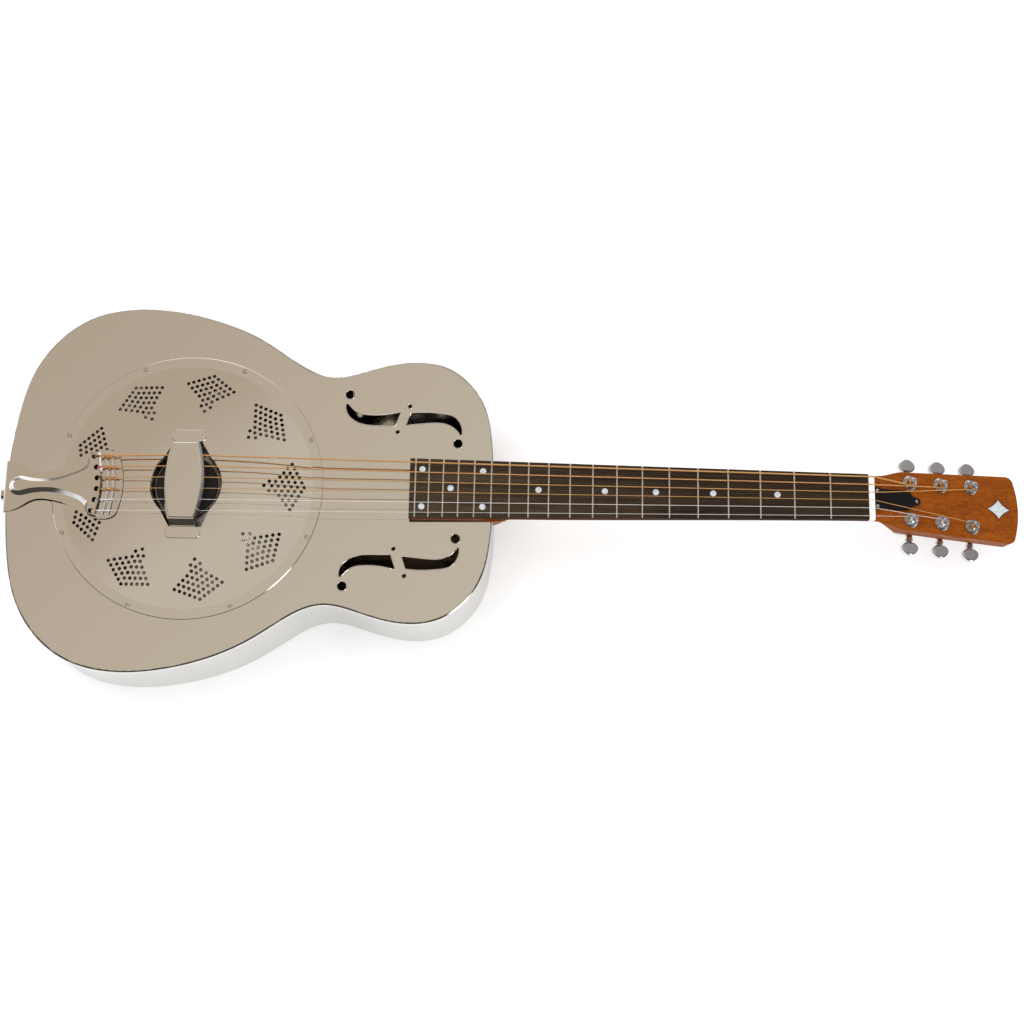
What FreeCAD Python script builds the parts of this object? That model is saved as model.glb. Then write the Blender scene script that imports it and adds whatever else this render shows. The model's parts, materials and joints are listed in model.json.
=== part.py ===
"""Metal-bodied resonator guitar with a single biscuit cone, three-a-side geared tuners and a wooden neck.

Units are millimetres. +X runs along the strings towards the headstock, +Y points to the bass side and
+Z points out of the top. Shapes are drawn with z = 0 on the plane of the body's top, under the centre of
the coverplate, and saved lifted by the body's depth, so that the origin lies on the body's back.
"""
import FreeCAD, Part
import math
import os

from FreeCAD import Placement, Rotation, Vector

# ---- driving dimensions ---------------------------------------------------------------------------
SCALE_LENGTH = 635.0          # saddle line to nut, 25 in before compensation
NUT_X = 637.5                 # front face of the nut
NECK_ANGLE = 0.533            # the fretboard drops towards the nut by this many degrees
FRET_COUNT = 19
BODY_FRET = 14                # the body meets the neck at this fret

# body shell, sheet metal
BODY_DEPTH = 88.0
SHEET = 1.0
RIM_RADIUS = 2.5
# half outline from the tail to the neck
BODY_OUTLINE = [
    (-171.0, 0.0), (-166.2, 62.6), (-153.0, 113.8), (-103.0, 166.6), (-50.0, 177.6), (0.5, 171.5),
    (71.7, 142.4), (132.4, 111.6), (168.8, 119.6), (214.0, 128.0), (244.3, 121.1), (269.6, 98.7),
    (282.1, 70.5), (286.4, 40.0), (286.8, 0.0),
]

# resonator
CONE_RADIUS = 120.65          # 9.5 in cone
CONE_THICKNESS = 0.6
WELL_RADIUS = 121.2
LEDGE_RADIUS = 110.0
LEDGE_TOP = -30.0
CONE_APEX = -5.2              # top of the cone's flat crown, under the biscuit
CROWN_RADIUS = 31.5
BISCUIT_RADIUS = 29.0
BISCUIT_HEIGHT = 7.4
SADDLE_LENGTH = 58.0
SADDLE_THICKNESS = 3.2
SADDLE_SLOT_DEPTH = 3.2
SADDLE_TOP = 17.2             # underside of the middle strings

# coverplate
COVER_RADIUS = 127.5
COVER_SHEET = 1.0
FLANGE_WIDTH = 10.0
COVER_OPENING = 32.6
COVER_CROWN = 8.0             # height of the dome's inner edge
COVER_STEP = 0.6              # height of the dome just inside the flange
COVER_STEP_RUN = 3.2
# corners that widen the round opening towards the two feet of the palm rest
LENS = [(24.6, 22.0), (12.8, 41.3), (-12.8, 41.3), (-24.6, 22.0),
        (-24.6, -22.0), (-13.5, -41.3), (16.8, -41.3), (24.6, -22.0)]
SCREW_CIRCLE = 123.9
COVER_SCREWS = 8
SCREW_SHANK = 1.0
SCREW_HEAD = 2.3
KITES = 9
KITE_PITCH = 40.0
KITE_SIDE = (97.7, 22.1)      # radius along the kite's middle and offset of its side corner
KITE_ROWS = [110.0, 103.8, 98.0, 92.0, 85.9, 80.1, 72.8]
KITE_HALF_COUNTS = [6, 5, 4, 3, 2, 2, 1]
KITE_HOLE = 1.7

# palm rest
REST_TOP = 23.5
REST_SHEET = 1.2
REST_EDGE = 1.8               # bend radius round the top
REST_FOOT_Y = 52.5
REST_FOOT_HALF_WIDTH = 16.5
REST_WALL_Y = 41.0
REST_TOP_Y = 36.5
REST_END_HALF_WIDTH = 11.0
REST_MID_HALF_WIDTH = 16.7
REST_SKIRT = 4.6

# tailpiece
TAIL_PITCH = 4.6              # degrees, rise of the tailpiece towards the bridge
TAIL_OFFSET = -3.1            # it sits a little to the treble side and turned towards the strings
TAIL_TURN = 0.7
TAIL_LENGTH = 112.2
TAIL_SHEET = 1.2
TAIL_EMBOSS = 3.8
TAIL_TAB_HALF_WIDTH = 24.2
TAIL_TAB_DROP = 56.0
STRING_HOLE = 2.55
HOLE_ROW = 88.9               # string holes from the tail along the middle
HOLE_ROW_BEND = 0.0064
RIB_RADIUS = 120.0            # the ribs in front of the holes follow this curve
RIB_HALF_WIDTH = 2.6
RIB_HEIGHT = 1.3
RIBS = [97.3, 102.7]
# half outline of the sheet from the tab to its front corner
TAIL_SIDE = [(6.0, 23.8), (16.0, 19.6), (25.0, 14.2), (35.0, 12.6), (45.0, 14.1), (54.0, 16.4),
             (68.0, 23.5), (76.0, 28.4), (86.0, 32.2), (96.0, 33.2), (103.0, 31.6), (107.0, 28.0)]
# half outlines of the raised tongue, tail to string holes: foot and top of its wall
TONGUE_FOOT = [(2.6, 0.01), (5.0, 6.6), (11.8, 10.1), (21.0, 8.8), (33.6, 7.0), (50.0, 8.3), (65.0, 13.0),
               (74.0, 17.6), (77.0, 22.5), (77.6, 27.0), (80.6, 29.6), (84.5, 31.3), (90.6, 31.6)]
TONGUE_TOP = [(8.6, 0.01), (10.3, 3.6), (14.0, 5.1), (22.0, 4.0), (33.0, 2.9), (50.5, 4.0), (63.6, 8.0),
              (75.0, 12.7), (80.4, 17.4), (80.8, 22.6), (81.4, 27.3), (84.4, 29.5), (88.0, 29.6)]
TONGUE_FOOT_FRONT = 94.6
TONGUE_TOP_FRONT = 91.4
TAIL_BEND = 1.2               # where the tab starts to turn down, from the tab's inner face
TAIL_TAB_CORNER = 16.0
PIN_Z = -44.0
PIN_HEAD_RADIUS = 6.4
PIN_SHAFT_RADIUS = 3.0
PIN_SHAFT_LENGTH = 30.0

# neck
BOARD_THICKNESS = 6.0
BOARD_RADIUS = 400.0          # playing surface is curved across at this radius
NUT_WIDTH = 43.9
BOARD_TAPER = 0.0314          # extra width for each mm away from the nut
BOARD_END_X = 209.0
NUT_THICKNESS = 5.4
NUT_TOP = 2.0
NECK_DEPTH_AT_NUT = 15.0
NECK_DEPTH_AT_HEEL = 19.0
# the heel's sections from the fretboard down: z, half width and reach out from the body
HEEL = [(-8.0, 28.4, 48.0), (-24.0, 25.8, 34.0), (-46.0, 22.5, 27.0), (-72.0, 16.5, 20.0)]
RISER_HEIGHT = 8.0
STICK_WIDTH = 30.0
STICK_TOP = -33.0
STICK_BOTTOM = -55.0
STICK_TENON = 12.0
STICK_BLOCK_STARTS = [-140.0, 190.0]
STICK_BLOCK_LENGTH = 40.0
FRET_WIDTH = 1.8
FRET_HEIGHT = 1.1
DOT_RADIUS = 2.9
SINGLE_DOTS = [3, 5, 7, 9, 12, 17]
PAIR_DOTS = {15: 17.3, 19: 18.0}
ROD_RADIUS = 2.5
ROD_DEPTH = 8.0               # centre of the rod below the fretboard
ROD_NUT_RADIUS = 3.6
ROD_NUT_LENGTH = 8.0
ROD_NUT_START = 12.0

# headstock
HEAD_ANGLE = 14.0
HEAD_THICKNESS = 14.0
HEAD_LENGTH = 150.2
HEAD_CORNER = 138.2           # distance from the nut to the tip's rounded corners
HEAD_SHOULDER = (32.0, 28.1)
HEAD_TIP_HALF = 32.9
POCKET_HALF_WIDTH = 7.5       # recess that gives access to the truss rod's nut
POCKET_LENGTH = 24.0
POCKET_DEPTH = 11.2
# half outline of the truss rod's cover, nut to tip: a waisted bell and its small upper lobe
TRUSS_COVER_BELL = [(0.6, 12.1), (3.0, 10.6), (8.0, 9.6), (20.0, 9.5), (32.0, 9.5), (37.5, 7.8)]
TRUSS_COVER_LOBE = [(37.5, 7.8), (41.0, 4.2), (44.6, 3.4)]
TRUSS_COVER_TIP = 47.4
TRUSS_COVER_SHEET = 2.0
SMALL_SHANK = 0.9             # radius of the small wood screws

# tuners: distance from the nut and from the centre line
POSTS = [(38.2, 17.9), (69.8, 18.4), (101.3, 19.3)]
POST_RADIUS = 3.0
POST_WAIST = 2.3              # radius where the string is wound
POST_TOP = 9.5
RUNNING = 0.06                # radial clearance of every turning fit
WHEEL_TEETH = 14
GEAR_MODULE = 0.7
WORM_PITCH_RADIUS = 2.2
WORM_CORE = 1.4
WORM_TURNS = 4
SHAFT_RADIUS = 1.5
GEAR_DEPTH = 20.4             # worm axis below the headstock's face
GEAR_WIDTH = 3.2
BUTTON_INNER = 16.6           # button's inner edge from the post axis
BUTTON_LENGTH = 12.8
BUTTON_HALF_WIDTH = 8.5
BUTTON_THICKNESS = 6.0
COLLAR_END = 16.2
BUSHING_SLEEVE = 4.4
HOUSING_LOW = (-8.0, -8.0)    # corners of the housing about the post axis
HOUSING_HIGH = (11.6, 8.6)
HOUSING_WALL = 1.3
HOUSING_FLOOR = 1.2
HOUSING_CORNER = 4.0
HOUSING_BELOW_WORM = 4.0
COVER_PLATE = 1.2
SCREW_EAR = -10.6

# strings, bass to treble
STRING_DIAMETERS = [1.42, 1.07, 0.81, 0.61, 0.43, 0.33]
NUT_SPACING = 7.5
SADDLE_SPACING = 10.7
SADDLE_OFFSET = -1.0          # the row of strings crosses the saddle a little to the treble side
TAIL_SPACING = 10.5
SADDLE_X = 0.0
BALL_RADIUS = 1.7
BALL_LENGTH = 2.6
BALL_HEIGHT = 1.2             # centre of the ball above the tailpiece's underside

# ---- derived values -------------------------------------------------------------------------------
BOARD_TOP_Z = 10.0            # height of the fretboard's surface at BOARD_REF_X
BOARD_REF_X = 200.0
NUT_Z = BOARD_TOP_Z - math.tan(math.radians(NECK_ANGLE)) * (NUT_X - BOARD_REF_X)
NECK_FRAME = Placement(Vector(NUT_X, 0, NUT_Z), Rotation(Vector(0, 1, 0), NECK_ANGLE))
HEAD_IN_NECK = Placement(Vector(NUT_THICKNESS, 0, -BOARD_THICKNESS),
                         Rotation(Vector(0, 1, 0), HEAD_ANGLE))
HEAD_FRAME = NECK_FRAME * HEAD_IN_NECK
TAIL_END = BODY_OUTLINE[0][0] - 0.2       # inner face of the tailpiece's tab
TAIL_FRAME = (Placement(Vector(TAIL_END + 0.8, TAIL_OFFSET, 0.4), Rotation(Vector(0, 1, 0), -TAIL_PITCH))
              * Placement(Vector(0, 0, 0), Rotation(Vector(0, 0, 1), TAIL_TURN)))
WHEEL_PITCH_RADIUS = WHEEL_TEETH * GEAR_MODULE / 2
GEAR_CENTRES = WHEEL_PITCH_RADIUS + WORM_PITCH_RADIUS
WORM_LEAD = math.pi * GEAR_MODULE
BOARD_END = BOARD_END_X - NUT_X
BODY_JOINT = -SCALE_LENGTH * (1 - 2 ** (-BODY_FRET / 12))
ROD_END = BODY_JOINT + 12


# ---- general helpers ------------------------------------------------------------------------------
def save(name, shape):
    """Write one sub-part, lifted so that the body's back lies on z = 0."""
    placed(shape, Placement(Vector(0, 0, BODY_DEPTH), Rotation())).exportStep("parts/" + name + ".step")


def placed(shape, frame):
    copy = shape.copy()
    copy.Placement = frame * copy.Placement
    return copy


def mirrored(shape):
    return shape.mirror(Vector(0, 0, 0), Vector(0, 1, 0))


def union(shapes):
    result = shapes[0]
    if len(shapes) > 1:
        result = result.multiFuse(shapes[1:])
    return result.removeSplitter()


def cylinder(radius, start, end):
    axis = end - start
    return Part.makeCylinder(radius, axis.Length, start, axis)


def box(low, high):
    size = Vector(*high) - Vector(*low)
    return Part.makeBox(size.x, size.y, size.z, Vector(*low))


def polygon(points):
    return Part.makePolygon([Vector(*p) for p in points] + [Vector(*points[0])])


def spline(points, **options):
    curve = Part.BSplineCurve()
    curve.interpolate(Points=[Vector(*p) for p in points], **options)
    return curve.toShape()


def ring(profile, centre=Vector(0, 0, 0), axis=Vector(0, 0, 1)):
    """Full revolution of a closed (radius, height) profile about an axis."""
    wire = polygon([(r, 0, z) for r, z in profile])
    solid = Part.Face(wire).revolve(Vector(0, 0, 0), Vector(0, 0, 1), 360)
    solid.Placement = Placement(centre, Rotation(Vector(0, 0, 1), axis))
    return solid


def prism(wire, depth):
    return Part.Face(wire).extrude(Vector(0, 0, depth))


# ---- body -----------------------------------------------------------------------------------------
def half_outline(side):
    """Curve of one half of the body's plan, from the tail to the neck."""
    curve = Part.BSplineCurve()
    curve.interpolate(Points=[Vector(x, side * y, 0) for x, y in BODY_OUTLINE],
                      InitialTangent=Vector(0, side, 0), FinalTangent=Vector(0, -side, 0))
    return curve


def inset_curve(curve, side, inset):
    """Curve parallel to a half outline, inside it."""
    samples = 56
    span = curve.LastParameter - curve.FirstParameter
    points = []
    for k in range(samples + 1):
        position = curve.FirstParameter + span * k / samples
        along = curve.tangent(position)[0]
        points.append(curve.value(position) + Vector(along.y, -along.x, 0) * side * inset)
    inner = Part.BSplineCurve()
    inner.interpolate(Points=points, InitialTangent=Vector(0, side, 0), FinalTangent=Vector(0, -side, 0))
    return inner


def body_outline(inset=0.0):
    """Closed plan of the body, each half in several lengths so that its faces stay small."""
    lengths = 7
    edges = []
    for side in (1, -1):
        curve = half_outline(side)
        if inset:
            curve = inset_curve(curve, side, inset)
        step = (curve.LastParameter - curve.FirstParameter) / lengths
        for k in range(lengths):
            start = curve.FirstParameter + k * step
            edges.append(curve.toShape(start, start + step))
    return Part.Wire(Part.__sortEdges__(edges))


def body_block():
    """The whole outside of the body as one solid, with rounded rims."""
    block = prism(body_outline(), -BODY_DEPTH)
    rims = [e for e in block.Edges if abs(e.BoundBox.ZLength) < 0.01]
    return block.makeFillet(RIM_RADIUS, rims)


def slab(low, high):
    return box((-250, -250, low), (350, 250, high))


def blade(outer, inner):
    """Sound slot bounded by two curves that share a pointed tip, with a straight end."""
    first = spline([(x, y, 0) for x, y in outer])
    second = spline([(x, y, 0) for x, y in inner])
    end = Part.makeLine(Vector(*outer[-1], 0), Vector(*inner[0], 0))
    tip = Part.makeLine(Vector(*inner[-1], 0), Vector(*outer[0], 0))
    return Part.Wire([first, end, second, tip])


def sound_hole_wires():
    lower_blade = blade(
        [(146.5, 85.2), (148.5, 83.0), (154.5, 76.9), (168.0, 73.3), (184.0, 73.8), (198.0, 76.6)],
        [(193.0, 62.4), (178.0, 62.6), (160.0, 64.6), (149.0, 71.6), (145.2, 83.0)])
    upper_blade = blade(
        [(256.5, 55.2), (255.6, 63.5), (249.0, 72.5), (236.0, 75.8), (220.0, 76.8), (207.0, 75.8)],
        [(202.8, 63.8), (212.0, 64.6), (228.0, 66.1), (242.0, 65.0), (250.0, 60.4), (254.6, 54.4)])
    rounds = [(149.0, 93.1, 4.6), (252.8, 46.2, 4.6), (206.3, 82.5, 2.25), (195.4, 56.8, 2.25)]
    circles = [Part.Wire([Part.makeCircle(r, Vector(x, y, 0))]) for x, y, r in rounds]
    return [lower_blade, upper_blade] + circles


def sound_hole_cutters():
    cutters = []
    for wire in sound_hole_wires():
        cut = prism(wire, -4 * SHEET)
        cut.translate(Vector(0, 0, SHEET))
        cutters += [cut, mirrored(cut)]
    return cutters


def circle_points(radius, count):
    return [Vector(radius * math.cos(a), radius * math.sin(a), 0)
            for a in (math.tau * (k + 0.5) / count for k in range(count))]


def body_top(block):
    top = block.common(slab(-SHEET, 1))
    opening = Part.makeCylinder(WELL_RADIUS, 4 * SHEET, Vector(0, 0, -2 * SHEET))
    drills = [Part.makeCylinder(SCREW_SHANK + 0.04, 4 * SHEET, p + Vector(0, 0, -2 * SHEET))
              for p in circle_points(SCREW_CIRCLE, COVER_SCREWS)]
    return top.cut([opening] + drills + sound_hole_cutters())


def body_sides(block):
    margin = 5
    hollow = at_height(prism(body_outline(SHEET), -BODY_DEPTH - 2 * margin), margin)
    wall = block.common(slab(SHEET - BODY_DEPTH, -SHEET)).cut(hollow)
    stick_opening = box((250, -STICK_WIDTH / 2, STICK_BOTTOM), (300, STICK_WIDTH / 2, STICK_TOP))
    pin_hole = cylinder(PIN_SHAFT_RADIUS + 0.05, Vector(-180, 0, PIN_Z), Vector(-160, 0, PIN_Z))
    return wall.cut([stick_opening, pin_hole])


def body_back(block):
    return block.common(slab(-BODY_DEPTH - 1, SHEET - BODY_DEPTH))


def soundwell():
    outer = WELL_RADIUS + SHEET
    well = ring([(WELL_RADIUS, -SHEET), (outer, -SHEET), (outer, LEDGE_TOP - SHEET),
                 (LEDGE_RADIUS, LEDGE_TOP - SHEET), (LEDGE_RADIUS, LEDGE_TOP), (WELL_RADIUS, LEDGE_TOP)])
    ports = []
    for k in range(12):
        direction = Rotation(Vector(0, 0, 1), 15 + 30 * k).multVec(Vector(1, 0, 0))
        middle = Vector(0, 0, (LEDGE_TOP - SHEET) / 2)
        ports.append(cylinder(8.0, direction * 115 + middle, direction * 130 + middle))
    return well.cut(ports)


# ---- resonator ------------------------------------------------------------------------------------
def resonator_cone():
    upper = [(1.8, CONE_APEX), (CROWN_RADIUS, CONE_APEX), (CROWN_RADIUS + 6, CONE_APEX - 1.6)]
    start = upper[-1]
    foot = (CONE_RADIUS - 5, LEDGE_TOP + CONE_THICKNESS)
    ridges = 4
    for k in range(1, 2 * ridges):
        part = 0.35 + 0.6 * k / (2 * ridges)
        radius = start[0] + (foot[0] - start[0]) * part
        height = start[1] + (foot[1] - start[1]) * part
        upper.append((radius, height + (0.5 if k % 2 else -0.2)))
    upper += [foot, (CONE_RADIUS, LEDGE_TOP + CONE_THICKNESS)]
    lower = [(r, z - CONE_THICKNESS) for r, z in reversed(upper)]
    return ring(upper + lower)


def biscuit():
    base = CONE_APEX
    rounding = 1.2
    body = Part.makeCylinder(BISCUIT_RADIUS, BISCUIT_HEIGHT, Vector(0, 0, base))
    top_edge = [e for e in body.Edges if abs(e.BoundBox.ZMin - base - BISCUIT_HEIGHT) < 0.01]
    body = body.makeFillet(rounding, top_edge)
    top = base + BISCUIT_HEIGHT
    slot = box((SADDLE_X - SADDLE_THICKNESS / 2, -SADDLE_LENGTH / 2, top - SADDLE_SLOT_DEPTH),
               (SADDLE_X + SADDLE_THICKNESS / 2, SADDLE_LENGTH / 2, top + 1))
    screw_hole = Part.makeCylinder(1.6, 3.8, Vector(0, 0, base))
    return body.cut([slot, screw_hole])


def saddle(string_cutters):
    base = CONE_APEX + BISCUIT_HEIGHT - SADDLE_SLOT_DEPTH
    half = SADDLE_LENGTH / 2
    crown = SADDLE_TOP + 0.3
    outline = polygon([(0, -half, base), (0, half, base), (0, half, 14.0), (0, half - 1, crown),
                       (0, 1 - half, crown), (0, -half, 14.0)])
    strip = Part.Face(outline).extrude(Vector(SADDLE_THICKNESS, 0, 0))
    strip.translate(Vector(SADDLE_X - SADDLE_THICKNESS / 2, 0, 0))
    return notched(strip, string_cutters)


def biscuit_screw():
    under = CONE_APEX - CONE_THICKNESS
    head = ring([(0, under - 1.8), (2.0, under - 1.6), (3.2, under - 0.7), (3.2, under), (0, under)])
    shank = Part.makeCylinder(1.55, 4.2, Vector(0, 0, under))
    return union([head, shank])


# ---- coverplate -----------------------------------------------------------------------------------
def dome_arc(lift):
    middle = (0.6 * COVER_RADIUS, COVER_STEP + 0.72 * (COVER_CROWN - COVER_STEP))
    foot = (COVER_RADIUS - FLANGE_WIDTH - COVER_STEP_RUN, COVER_STEP)
    crown = (COVER_OPENING + 1.2, COVER_CROWN)
    points = [Vector(r, 0, z + lift) for r, z in (foot, middle, crown)]
    return Part.Arc(*points).toShape()


def segments(points):
    """Straight edges through (radius, height) points in the x-z plane."""
    places = [Vector(r, 0, z) for r, z in points]
    return [Part.makeLine(a, b) for a, b in zip(places, places[1:])]


def cover_section():
    """Closed radial section of the pressed sheet: flange, step, dome and turned-down inner lip."""
    flange_inner = COVER_RADIUS - FLANGE_WIDTH
    step = (flange_inner - COVER_STEP_RUN, COVER_STEP)
    crown = (COVER_OPENING + 1.2, COVER_CROWN)
    top = segments([(COVER_RADIUS, 0.0), (COVER_RADIUS, COVER_SHEET * 0.6),
                    (COVER_RADIUS - 0.5, COVER_SHEET), (flange_inner + 0.2, COVER_SHEET),
                    (step[0], step[1] + COVER_SHEET)])
    top.append(dome_arc(COVER_SHEET))
    lip = segments([(crown[0], crown[1] + COVER_SHEET), (COVER_OPENING, crown[1] + 0.2),
                    (COVER_OPENING, crown[1] - 2.2), (COVER_OPENING + 1.2, crown[1] - 2.2), crown])
    bottom = [dome_arc(0.0)]
    bottom += segments([step, (flange_inner, 0.0), (COVER_RADIUS, 0.0)])
    return Part.Wire(Part.__sortEdges__(top + lip + bottom))


def kite_holes():
    """Centres of one group of holes; rows run parallel to the two outer sides of the kite."""
    side = Vector(KITE_SIDE[0] - KITE_ROWS[0], KITE_SIDE[1], 0)
    spacing = side / (KITE_HALF_COUNTS[0] - 1)
    centres = []
    for radius, count in zip(KITE_ROWS, KITE_HALF_COUNTS):
        centres.append(Vector(radius, 0, 0))
        for step in range(1, count):
            offset = spacing * step
            centres.append(Vector(radius + offset.x, offset.y, 0))
            centres.append(Vector(radius + offset.x, -offset.y, 0))
    return centres


def lens_cutter():
    """Widens the round opening towards the two feet of the palm rest."""
    return at_height(prism(polygon([(x, y, 0) for x, y in LENS]), 20), -5)


def coverplate():
    plate = Part.Face(cover_section()).revolve(Vector(0, 0, 0), Vector(0, 0, 1), 360)
    drills = [lens_cutter()]
    for k in range(KITES):
        turn = Rotation(Vector(0, 0, 1), KITE_PITCH * k)
        for centre in kite_holes():
            drills.append(Part.makeCylinder(KITE_HOLE, 14, turn.multVec(centre) + Vector(0, 0, -2)))
    for point in circle_points(SCREW_CIRCLE, COVER_SCREWS):
        drills.append(Part.makeCylinder(SCREW_SHANK + 0.04, 6, point + Vector(0, 0, -2)))
    return plate.cut(drills)


def under_cover():
    """Everything below the coverplate's upper face, for trimming what stands on it."""
    arc = dome_arc(COVER_SHEET)
    foot = COVER_RADIUS - FLANGE_WIDTH - COVER_STEP_RUN
    crown = COVER_OPENING + 1.2
    rest = segments([(crown, COVER_CROWN + COVER_SHEET), (crown, -5),
                     (foot, -5), (foot, COVER_STEP + COVER_SHEET)])
    face = Part.Face(Part.Wire(Part.__sortEdges__([arc] + rest)))
    return face.revolve(Vector(0, 0, 0), Vector(0, 0, 1), 360)


def coverplate_screws():
    screws = []
    for point in circle_points(SCREW_CIRCLE, COVER_SCREWS):
        head = ring([(0, COVER_SHEET), (SCREW_HEAD, COVER_SHEET), (SCREW_HEAD, COVER_SHEET + 0.3),
                     (SCREW_HEAD * 0.75, COVER_SHEET + 1.0), (0, COVER_SHEET + 1.3)])
        shank = Part.makeCylinder(SCREW_SHANK, 9, Vector(0, 0, COVER_SHEET - 9))
        screw = union([head, shank])
        slot = box((-SCREW_HEAD, -0.25, COVER_SHEET + 0.8), (SCREW_HEAD, 0.25, COVER_SHEET + 2))
        screw = screw.cut(slot)
        screw.Placement = Placement(point, Rotation(Vector(0, 0, 1), 35))
        screws.append(screw)
    return Part.makeCompound(screws)


def rest_outline(extra):
    """Plan of the palm rest's top: narrow ends, widest in the middle."""
    end = REST_END_HALF_WIDTH + extra
    middle = REST_MID_HALF_WIDTH + extra
    y = REST_TOP_Y
    left = spline([(-end, -y, 0), (-middle, 0, 0), (-end, y, 0)])
    right = spline([(end, y, 0), (middle, 0, 0), (end, -y, 0)])
    return Part.Wire([left, Part.makeLine(Vector(-end, y, 0), Vector(end, y, 0)), right,
                      Part.makeLine(Vector(end, -y, 0), Vector(-end, -y, 0))])


def at_height(wire, z):
    return placed(wire, Placement(Vector(0, 0, z), Rotation()))


def rest_leg(sign):
    """Foot pad with rounded corners and the leaning wall that carries the top."""
    foot_z = COVER_CROWN
    depth = REST_FOOT_Y - REST_WALL_Y
    pad = box((-REST_FOOT_HALF_WIDTH, -depth / 2, 0), (REST_FOOT_HALF_WIDTH, depth / 2, 5))
    corners = [e for e in pad.Edges if abs(e.BoundBox.ZLength - 5) < 0.01]
    pad = pad.makeFillet(0.45 * depth, corners)
    pad = pad.makeFillet(0.8, [e for e in pad.Edges if e.BoundBox.ZMin > 4.99])
    pad.translate(Vector(0, sign * (REST_FOOT_Y - depth / 2), foot_z - 3.4))
    half = REST_END_HALF_WIDTH + 0.8
    rings = []
    for y, z in ((REST_WALL_Y, foot_z - 3), (REST_TOP_Y - 0.4 * REST_SHEET, REST_TOP - 0.6 * REST_SHEET)):
        rings.append(polygon([(-half, sign * y, z), (half, sign * y, z),
                              (half, sign * (y + REST_SHEET), z), (-half, sign * (y + REST_SHEET), z)]))
    return union([pad, Part.makeLoft(rings, True)])


def palm_rest():
    spread = 2.0
    foot = REST_TOP - REST_SKIRT
    outside = [at_height(rest_outline(0.0), REST_TOP), at_height(rest_outline(spread), foot)]
    inside = [at_height(rest_outline(-REST_SHEET), REST_TOP - REST_SHEET),
              at_height(rest_outline(spread - REST_SHEET), foot - 0.01)]
    cap = Part.makeLoft(outside, True)
    cap = cap.makeFillet(REST_EDGE, [e for e in cap.Edges if e.BoundBox.ZMin > REST_TOP - 0.01])
    cap = cap.cut(Part.makeLoft(inside, True))
    return union([cap, rest_leg(-1), rest_leg(1)]).cut(under_cover())


# ---- tailpiece ------------------------------------------------------------------------------------
def symmetric_wire(half, front):
    """Closed plan outline from a half outline, mirrored about y = 0 and closed by an arc in front."""
    (x0, y0), (x1, y1) = half[0], half[-1]
    edges = [spline([(x, y, 0) for x, y in half]), spline([(x, -y, 0) for x, y in reversed(half)])]
    edges.append(Part.makeLine(Vector(x0, y0, 0), Vector(x0, -y0, 0)))
    edges.append(Part.Arc(Vector(x1, y1, 0), Vector(front, 0, 0), Vector(x1, -y1, 0)).toShape())
    return Part.Wire(Part.__sortEdges__(edges))


def tail_outline():
    """Wide tab at the tail, a waist, and a broad plate with rounded corners in front."""
    return symmetric_wire([(0.0, TAIL_TAB_HALF_WIDTH)] + TAIL_SIDE, TAIL_LENGTH)


def tongue_outline(part):
    """Plan of the raised tongue, part of the way from the foot of its wall (0) to the top (1)."""
    side = []
    for (foot_x, foot_y), (top_x, top_y) in zip(TONGUE_FOOT, TONGUE_TOP):
        side.append((foot_x + part * (top_x - foot_x), foot_y + part * (top_y - foot_y)))
    return symmetric_wire(side, TONGUE_FOOT_FRONT + part * (TONGUE_TOP_FRONT - TONGUE_FOOT_FRONT))


def front_rib(position):
    """Half-round rib across the plate, bent like its front edge."""
    reach = 14.0  # degrees to either side
    low, high = RIB_RADIUS - RIB_HALF_WIDTH, RIB_RADIUS + RIB_HALF_WIDTH
    arc = Part.Arc(Vector(low, 0, 0), Vector(RIB_RADIUS, 0, RIB_HEIGHT), Vector(high, 0, 0)).toShape()
    section = Part.Wire([arc] + segments([(high, 0), (high, -0.5), (low, -0.5), (low, 0)]))
    rib = Part.Face(section)
    rib.rotate(Vector(0, 0, 0), Vector(0, 0, 1), -reach)
    rib = rib.revolve(Vector(0, 0, 0), Vector(0, 0, 1), 2 * reach)
    rib.translate(Vector(position - RIB_RADIUS, 0, TAIL_SHEET))
    return rib


def tail_holes():
    holes = []
    for index in range(6):
        y = (2.5 - index) * TAIL_SPACING
        holes.append(Vector(HOLE_ROW - HOLE_ROW_BEND * y * y, y, 0))
    return holes


def tail_tab():
    """Bent end that drops over the body's tail, with rounded lower corners."""
    bend = TAIL_FRAME.multVec(Vector(TAIL_BEND, 0, 0))
    profile = [(TAIL_END - TAIL_SHEET, -TAIL_TAB_DROP), (TAIL_END, -TAIL_TAB_DROP), (TAIL_END, -2.0),
               (TAIL_END + TAIL_BEND, bend.z), (bend.x, bend.z), (bend.x, bend.z + TAIL_SHEET),
               (TAIL_END + 0.9, bend.z + TAIL_SHEET - 0.1), (TAIL_END - 0.5, 0.6),
               (TAIL_END - TAIL_SHEET, -1.6)]
    half = TAIL_TAB_HALF_WIDTH
    face = Part.Face(polygon([(x, TAIL_OFFSET - half, z) for x, z in profile]))
    tab = face.extrude(Vector(0, 2 * half, 0))
    lower = [e for e in tab.Edges if abs(e.BoundBox.XLength - TAIL_SHEET) < 0.01
             and e.BoundBox.ZMax < 1 - TAIL_TAB_DROP and e.BoundBox.YLength < 0.01]
    return tab.makeFillet(TAIL_TAB_CORNER, lower)


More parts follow.
